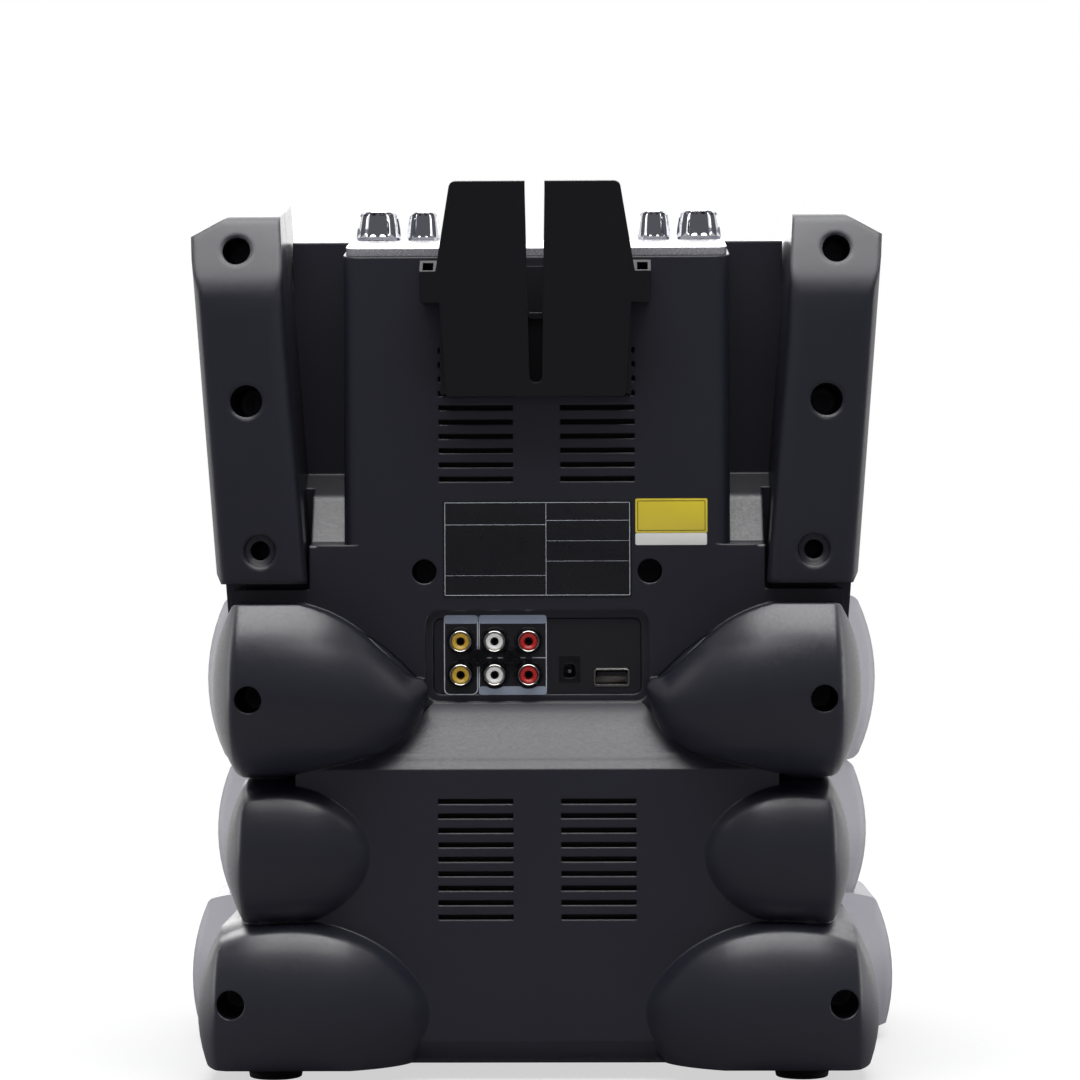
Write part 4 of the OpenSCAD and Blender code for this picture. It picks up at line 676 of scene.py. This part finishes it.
def makeKnobs(p):
    largest = max(r for x, r in p["names"].values())
    stemEnd, stem = p["stem"]
    bend = p["shoulder"]
    for name, (x, r) in p["names"].items():
        low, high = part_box(name)
        top, shaftLow = high.z / mm, low.z / mm
        seat = top - p["height"]
        rTop = r * p["topShare"]
        wall = np.linspace(0, 1, 14)[1:]
        profile = [(0, shaftLow), (stemEnd, shaftLow), (stem, shaftLow + 0.4), (stem, seat + 0.02),
                   (r - 1.2, seat + 0.02), (r - 0.5, seat + 0.15), (r - 0.25, seat + 0.9), (r, seat + 1.5)]
        side = p["height"] - 1.5 - bend
        profile += [(r + (rTop - r) * t ** 1.5, seat + 1.5 + t * side) for t in wall]
        profile += arc(rTop - bend, top - bend, bend, 0, 90, 8).tolist()[1:]
        profile += [(rTop - 2.4, top - 0.12), (rTop - 3.0, top - 0.6), (1.2, top - 0.9), (0, top - 0.92)]

        def flute(angle, height):
            # scoops round the side, deepest at mid height, faded out at the skirt and the shoulder
            rise = np.clip((height - seat - 1.4) / 1.2, 0, 1) * np.clip((top - 1.0 - height) / 1.6, 0, 1)
            scoop = np.abs(np.cos(angle * p["flutes"] / 2)) ** 0.8
            return p["fluteDepth"] * (r / largest) * scoop * rise

        body = name + "_body"
        steps = p["flutes"] * p["stepsPerFlute"]
        addPiece(name + "Cap", upright(turned(profile, steps, flute), x, p["y"]), "chrome", body,
                 (name,), 26)
        marker = box(x - 0.45, p["y"] + 1.5, top - 1.2, x + 0.45, p["y"] + rTop - 2.7, top - 0.42, 0.15)
        addPiece(name + "Marker", marker, "printWhite", body)


finishes["printWhite"] = mouldedPlastic("whitePadPrint", {
    "colour": "#e2e2e0", "worn": "#d4d4d2", "roughness": 0.45, "spread": 0.05, "grainMm": 0.6,
    "bump": 0.1})
makeKnobs(knob)
print("knobs made")


# rear sockets
sockets = {
    "face": 75.5,                       # front of the socket panel
    "body": (61.6, 69.5),               # rear and front y of the mouldings behind the panel
    "columns": {"yellowPlug": 29.5, "whitePlug": 16.4, "redPlug": 3.3},
    "rows": (166.9, 154.0),
    "collarR": 4.15,
    "collarOut": 5.5,                   # how far a collar stands out of the panel
    "jack": (-12.4, 155.2),
    "charging": (-28.6, 152.8),
    "contactPitch": 2.4,                # of the four contacts in the charging socket
}


def makeSockets(p):
    y = p["face"]
    bodyRear, bodyFront = p["body"]
    # profiles of (radius, y), turned round each socket's axis
    r = p["collarR"]
    out = y + p["collarOut"]
    collar = [(3.0, y - 5.9), (r - 0.05, y - 5.9), (r, y - 5.8), (r, out - 0.5), (r - 0.12, out - 0.15),
              (r - 0.35, out), (r - 0.55, out - 0.15), (r - 0.6, out - 0.6), (r - 0.6, y - 5.5),
              (3.0, y - 5.5), (3.0, y - 5.9)]
    boss = [(r + 0.02, y - 0.3), (5.55, y - 0.3), (5.55, y + 0.5), (5.4, y + 0.75), (5.1, y + 0.85),
            (4.75, y + 0.75), (4.6, y + 0.3), (r + 0.02, y + 0.2), (r + 0.02, y - 0.3)]
    insert = [(1.6, y - 4.0), (3.5, y - 4.0), (3.5, out - 1.3), (3.3, out - 0.95), (2.9, out - 0.85),
              (2.0, out - 1.25), (1.75, out - 1.5), (1.6, out - 1.9), (1.6, y - 4.0)]
    contact = [(0, y - 3.6), (1.5, y - 3.6), (1.58, y - 3.4), (1.58, out - 2.4), (1.3, out - 2.2),
               (1.15, out - 2.4), (1.15, y - 2.8), (0, y - 2.8)]
    spots = [(x, z) for x in p["columns"].values() for z in p["rows"]]

    def atSpots(profile, steps, places):
        return joined(*[alongY(turned(profile, steps), x, z) for x, z in places])

    housing = [box(x - 5, bodyRear, z - 6, x + 5, bodyFront, z + 6, 0.4) for x, z in spots]
    addPiece("phonoCollars", atSpots(collar, 56, spots), "nickel", "casing", ("phono_collars",))
    addPiece("phonoHousings", joined(*housing), "loaderBlack", "casing")
    addPiece("phonoBosses", atSpots(boss, 56, spots), "glossBlack", "casing")
    nodesOf = {"yellowPlug": ("phono_yellow", "yellow"), "whitePlug": ("phono_white", "white"),
               "redPlug": ("phono_red", "red")}
    for finish, x in p["columns"].items():
        node, slot = nodesOf[finish]
        pair = [(x, z) for z in p["rows"]]
        addPiece(finish + "Inserts", atSpots(insert, 48, pair), finish, "casing", (node,))
        addPiece(finish + "Contacts", atSpots(contact, 24, pair), "loaderBlack", "casing")

    # power inlet: square moulding with a round mouth and a steel pin
    jx, jz = p["jack"]
    mouth = [(3.35, y + 0.22), (3.25, y + 0.34), (2.95, y + 0.34), (2.75, y + 0.1), (2.75, y - 9.0),
             (0, y - 9.0)]
    square = roundedOutline(jx - 4.1, jz - 4.2, jx + 4.1, jz + 6.0, 0.4, 5)
    bezel = framePlate(square, circleAt(square, jx, jz, 3.3), y + 0.02, y + 0.28)
    block = box(jx - 4.5, bodyRear, jz - 5.5, jx + 4.5, bodyFront, jz + 5.5, 0.3)
    addPiece("powerInlet", joined(bezel, atSpots(mouth, 48, [(jx, jz)]), block), "glossBlack", "casing",
             ("dc_jack",))
    pin = [(0, y - 8.8), (0.95, y - 8.8), (0.95, y - 1.9), (0.7, y - 1.5), (0, y - 1.4)]
    addPiece("powerInletPin", atSpots(pin, 24, [(jx, jz)]), "nickel", "casing")

    # charging socket: folded steel shell, black tongue, four contacts
    ux, uz = p["charging"]
    outer = roundedOutline(ux - 6.6, uz - 3.2, ux + 6.6, uz + 3.2, 0.9, 5)
    inner = roundedOutline(ux - 6.2, uz - 2.8, ux + 6.2, uz + 2.8, 0.6, 5)
    shell = framePlate(outer, inner, bodyRear, y + 0.4)
    flare = framePlate(insetOutline(outer, -0.35), insetOutline(outer, 0.1), y - 0.1, y + 0.3)
    floor = box(ux - 6.1, bodyRear, uz - 2.7, ux + 6.1, bodyRear + 1.0, uz + 2.7, 0.2)
    addPiece("usbShell", joined(shell, flare, floor), "nickel", "casing", ("usb_port",))
    tongue = box(ux - 5.6, 62.7, uz + 0.3, ux + 5.6, y - 1.0, uz + 2.2, 0.25)
    addPiece("usbTongue", tongue, "loaderBlack", "casing")
    middles = [ux + k * p["contactPitch"] for k in (-1.5, -0.5, 0.5, 1.5)]
    strips = [box(x - 0.55, 64.0, uz + 0.16, x + 0.55, y - 1.6, uz + 0.34) for x in middles]
    addPiece("usbContacts", joined(*strips), "brass", "casing")


finishes["glossBlack"] = mouldedPlastic("polishedBlackNylon", {
    "colour": "#101013", "worn": "#16161a", "roughness": 0.2, "spread": 0.04, "grainMm": 2.0,
    "bump": 0.06, "edgeMm": 0.2})
makeSockets(sockets)


# print on the socket panel: two outlined groups with grey-blue bars, and short lines between the sockets
panelPrint = {
    "y": 75.52,
    "thick": 0.06,
    "line": 0.36,                   # width of a line
    "top": 176.9, "bottom": 146.15,
    "barHeight": 3.3,
    "left": 36.0, "middle": 22.75, "right": -3.6,
    "overlap": 0.15,                # of the two groups' outlines at the middle
    "radius": 2.4,
    "barRadius": 1.2,
    "dashes": ((20.3, 17.6), (15.2, 12.2), (7.4, 4.6), (2.0, -3.3)),    # from x to x, between the rows
}


def makePanelPrint(p):
    y0, y1, w = p["y"], p["y"] + p["thick"], p["line"]
    leftGroup = (p["left"], p["middle"] + p["overlap"])
    rightGroup = (p["middle"] - p["overlap"], p["right"])
    lines = []
    for a, b in (leftGroup, rightGroup):
        outer = roundedOutline(b, p["bottom"], a, p["top"], p["radius"], 8)
        lines.append(framePlate(outer, insetOutline(outer, w), y0, y1))
    middleZ = sum(sockets["rows"]) / 2
    lines += [box(b, y0, middleZ - w / 2, a, y1, middleZ + w / 2) for a, b in p["dashes"]]
    addPiece("panelLines", joined(*lines), "lineInk", "casing")
    bars = []
    topBar = p["top"] - p["barHeight"]
    for (a, b), low in ((leftGroup, topBar), (rightGroup, topBar), (rightGroup, p["bottom"])):
        outline = roundedOutline(b, low, a, low + p["barHeight"], p["barRadius"], 6)
        bars.append(plate(outline, y0, y1 + 0.01, 0.02, 1))
    addPiece("panelBars", joined(*bars), "printInk", "casing")


makePanelPrint(panelPrint)
print("sockets and their print made")


# bare rating plate with fine ruled fields, and two blank labels beside it
labels = {
    "y": 78.02,
    "plate": (-36.5, 183.8, 36.2, 221.0),           # x, z, x, z
    "plateThick": 0.3,
    "rules": ((-3.6, 184.9, -3.4, 219.9), (-35.4, 213.2, -3.6, 213.4), (-35.4, 205.4, -3.6, 205.55),
              (-35.4, 197.6, -3.6, 197.75), (-3.4, 211.6, 35.1, 211.8), (-3.4, 192.1, 35.1, 192.25)),
    "yellow": (-65.6, 208.4, -37.9, 221.6),
    "white": (-65.4, 203.7, -37.9, 208.3),
    "labelThick": 0.14,
    "inkGap": 0.001,            # between a foil and the ink on it
    "inkThick": 0.029,
}


def makeLabels(p):
    y = p["y"]
    foil = roundedOutline(*p["plate"], 1.0, 4)
    addPiece("ratingFoil", plate(foil, y, y + p["plateThick"], 0.08, 2), "labelFoil", "casing",
             ("rating_plate",))
    y0 = y + p["plateThick"] + p["inkGap"]
    y1 = y0 + p["inkThick"]
    edge = insetOutline(foil, 0.7)
    rules = [framePlate(edge, insetOutline(edge, 0.22), y0, y1)]
    rules += [box(x0, y0, z0, x1, y1, z1) for x0, z0, x1, z1 in p["rules"]]
    addPiece("ratingRules", joined(*rules), "lineInk", "casing")
    for name, finish in (("yellow", "yellowFoil"), ("white", "whiteFoil")):
        label = plate(roundedOutline(*p[name], 0.6, 4), y, y + p["labelThick"], 0.05, 2)
        addPiece(name + "BlankLabel", label, finish, "casing")
    x0, z0, x1, z1 = p["yellow"]
    edge = roundedOutline(x0 + 0.8, z0 + 0.8, x1 - 0.8, z1 - 0.8, 0.4, 4)
    y0 = y + p["labelThick"] + p["inkGap"]
    addPiece("yellowLabelRule", framePlate(edge, insetOutline(edge, 0.25), y0, y0 + p["inkThick"]),
             "labelFoil", "casing")


makeLabels(labels)
print("labels made")


# front controls: chromed caps with a shallow dish, and a printed sign under each
buttonRow = {
    "names": ("power", "menu", "previous", "play", "next", "stop", "eject"),
    "pitch": 20.0,
    "z": 199.0,
    "face": -112.0,
    "r": 5.0,
    "proud": 1.4,                       # how far a cap stands out of the front
    "dishR": 4.45,
    "dish": 0.56,                       # depth of the dish
    "stem": (1.5, -106.1),              # radius, y of its end
    "flange": (6.0, -107.85, -108.6),   # radius, y of its rear and front
    "signDrop": 9.6,                    # from a cap's middle down to its sign
    "sign": 1.7,                        # half height of a sign
}


def signParts(name, x, z, s, y0, y1):
    # a sign made of triangles, bars and rings; s is half its height
    def shape(points):
        # the outline is turned round where it runs clockwise
        outline = np.array(points, float) * s + np.array([x, z])
        (ax, az), (bx, bz) = outline[1] - outline[0], outline[2] - outline[1]
        return plate(outline if ax * bz >= az * bx else outline[::-1], y0, y1, 0.01, 1)

    def bar(a, b, c, d):
        return shape([(a, b), (c, b), (c, d), (a, d)])

    if name == "play":
        return [shape([(-0.8, -1), (1.0, 0), (-0.8, 1)])]
    if name == "stop":
        return [bar(-0.9, -0.9, 0.9, 0.9)]
    if name == "menu":
        return [bar(-1.1, k - 0.16, 1.1, k + 0.16) for k in (-0.75, 0, 0.75)]
    if name == "eject":
        return [shape([(-1.1, -0.1), (1.1, -0.1), (0, 1)]), bar(-1.1, -0.9, 1.1, -0.5)]
    if name == "next":
        return [shape([(-1.2, -0.9), (0.5, 0), (-1.2, 0.9)]), bar(0.6, -0.9, 0.95, 0.9)]
    if name == "previous":
        return [shape([(1.2, 0.9), (-0.5, 0), (1.2, -0.9)]), bar(-0.95, -0.9, -0.6, 0.9)]
    # power: a ring open at the top, and a bar in the gap
    ring = [arc(0, 0, r, 125, 415, 40) * s + np.array([x, z]) for r in (1.0, 0.74)]
    points = np.vstack([atY(line, y0) for line in ring])
    return [(points, gridFaces(2, len(ring[0]), False)), bar(-0.13, 0.05, 0.13, 1.15)]


def makeButtons(p):
    # profile of (radius, y): stem, flange behind the front, side, rounded edge, dish
    front = p["face"] - p["proud"]
    r = p["r"]
    stemR, stemEnd = p["stem"]
    flangeR, flangeRear, flangeFront = p["flange"]
    profile = [(0, stemEnd), (stemR, stemEnd), (stemR, flangeRear), (flangeR - 0.1, flangeRear),
               (flangeR, flangeRear - 0.1), (flangeR, flangeFront + 0.1), (flangeR - 0.1, flangeFront),
               (r, flangeFront), (r, front + 0.45)]
    profile += arc(r - 0.45, front + 0.45, 0.45, 0, -90, 6).tolist()[1:] + [(4.5, front + 0.02)]
    profile += [(t, front + 0.6 - p["dish"] * (t / p["dishR"]) ** 2)
                for t in np.linspace(0, p["dishR"], 12)[::-1]]
    signs = []
    for i, name in enumerate(p["names"]):
        x = (i - 3) * p["pitch"]
        node = "button_" + name
        addPiece(name + "Cap", alongY(turned(profile, 72), x, p["z"]), "chrome", node + "_body", (node,),
                 40)
        signs += signParts(name, x, p["z"] - p["signDrop"], p["sign"], p["face"] - 0.05, p["face"] + 0.02)
    addPiece("controlSigns", joined(*signs), "printWhite", "casing")


makeButtons(buttonRow)

# microphone sockets: nickel nut with a notched edge, nickel barrel, black bush, housing behind the front
micSocket = {
    "x": 58.0,
    "z": 155.0,
    "face": -112.0,
    "bore": 3.25,               # radius
    "notches": 36,
    "notch": 0.22,              # depth of a notch
    "housing": (8.0, 7.0, 5.5),     # from the axis to the side, bottom and top
    "housingHole": 4.26,
}


def makeMicSockets(p):
    # profiles of (radius, y), turned round each socket's axis
    y, bore = p["face"], p["bore"]
    nut = [(5.25, y), (7.0, y), (7.0, y - 0.85), (6.75, y - 1.15), (6.3, y - 1.2), (5.5, y - 1.2),
           (5.25, y - 1.0), (5.25, y)]
    barrel = [(bore + 1.0, y - 1.4), (bore + 1.15, y - 1.7), (4.7, y - 1.8), (5.15, y - 1.55),
              (5.2, y - 1.2), (5.0, y - 1.0), (5.2, y - 0.8), (5.2, y + 5.0), (bore + 1.0, y + 5.0),
              (bore + 1.0, y - 1.4)]
    bush = [(bore, y - 1.0), (bore + 0.35, y - 1.35), (bore + 0.98, y - 1.35), (bore + 0.98, y + 5.0),
            (bore + 0.98, y + 28.0), (bore, y + 28.0), (bore, y - 1.0)]

    def notched(angle, height):
        # (half of 1 + cos(notches x angle)) squared, on the part in front of the face
        return p["notch"] * (0.5 + 0.5 * np.cos(angle * p["notches"])) ** 2 * (height < y - 0.02)

    sides = (-p["x"], p["x"])
    steps = 6 * p["notches"]
    addPiece("micNuts", joined(*[alongY(turned(nut, steps, notched), x, p["z"]) for x in sides]), "nickel",
             "casing", ("mic_jacks",))
    addPiece("micBarrels", joined(*[alongY(turned(barrel, 64), x, p["z"]) for x in sides]), "nickel",
             "casing")
    addPiece("micBushes", joined(*[alongY(turned(bush, 48), x, p["z"]) for x in sides]), "glossBlack",
             "casing")
    side, bottom, top = p["housing"]
    tubes = []
    for x in sides:
        outer = roundedOutline(x - side, p["z"] - bottom, x + side, p["z"] + top, 0.6, 11)
        tubes.append(framePlate(outer, circleAt(outer, x, p["z"], p["housingHole"]), y + 5.02, y + 30.0))
    addPiece("micHousings", joined(*tubes), "loaderBlack", "casing")


makeMicSockets(micSocket)

# screen: the picture area shows through the smoked window as a slightly bluer, duller field
screen = {"y": -111.97, "thick": 0.03, "half": 76.0, "low": 213.5, "high": 298.5}
finishes["displayField"] = mouldedPlastic("switchedOffDisplay", {
    "colour": "#0e1118", "worn": "#10141c", "roughness": 0.16, "spread": 0.03, "grainMm": 4.0,
    "bump": 0.02})
field = roundedOutline(-screen["half"], screen["low"], screen["half"], screen["high"], 0.6, 3)
addPiece("pictureField", plate(field, screen["y"], screen["y"] + screen["thick"], 0.01, 1),
         "displayField", "casing")

# feet: moulded rubber with a rounded tread, a hollow under it and a groove round the side
foot = {"x": 101.0, "y": 80.0, "r": 11.0, "height": 5.95, "tread": 0.7, "plug": (3.0, 10.6)}


def makeFeet(p):
    # profile of (radius, z): hollow, tread, groove, side, and the plug that sits in the bottom's hole
    r, h, bend = p["r"], p["height"], p["tread"]
    plugR, plugTop = p["plug"]
    profile = [(0, 0.9), (4.6, 0.9), (5.0, 0.5), (5.4, 0), (r - 1.6, 0)]
    profile += arc(r - 1.6, bend, bend, -90, 0, 6).tolist()[1:]
    profile += [(r - 0.75, 1.6), (r - 0.75, 2.0), (r - 0.35, 2.4), (r - 0.05, h - 0.5), (r - 0.2, h - 0.1),
                (r - 0.5, h), (plugR, h), (plugR, plugTop - 0.4), (plugR - 0.3, plugTop), (0, plugTop)]
    spots = [(sx * p["x"], sy * p["y"]) for sx in (-1, 1) for sy in (-1, 1)]
    addPiece("feet", joined(*[upright(turned(profile, 56), x, y) for x, y in spots]), "rubber", "casing",
             ("rubber_feet",), 40)


makeFeet(foot)
print("front controls, sockets and feet made")
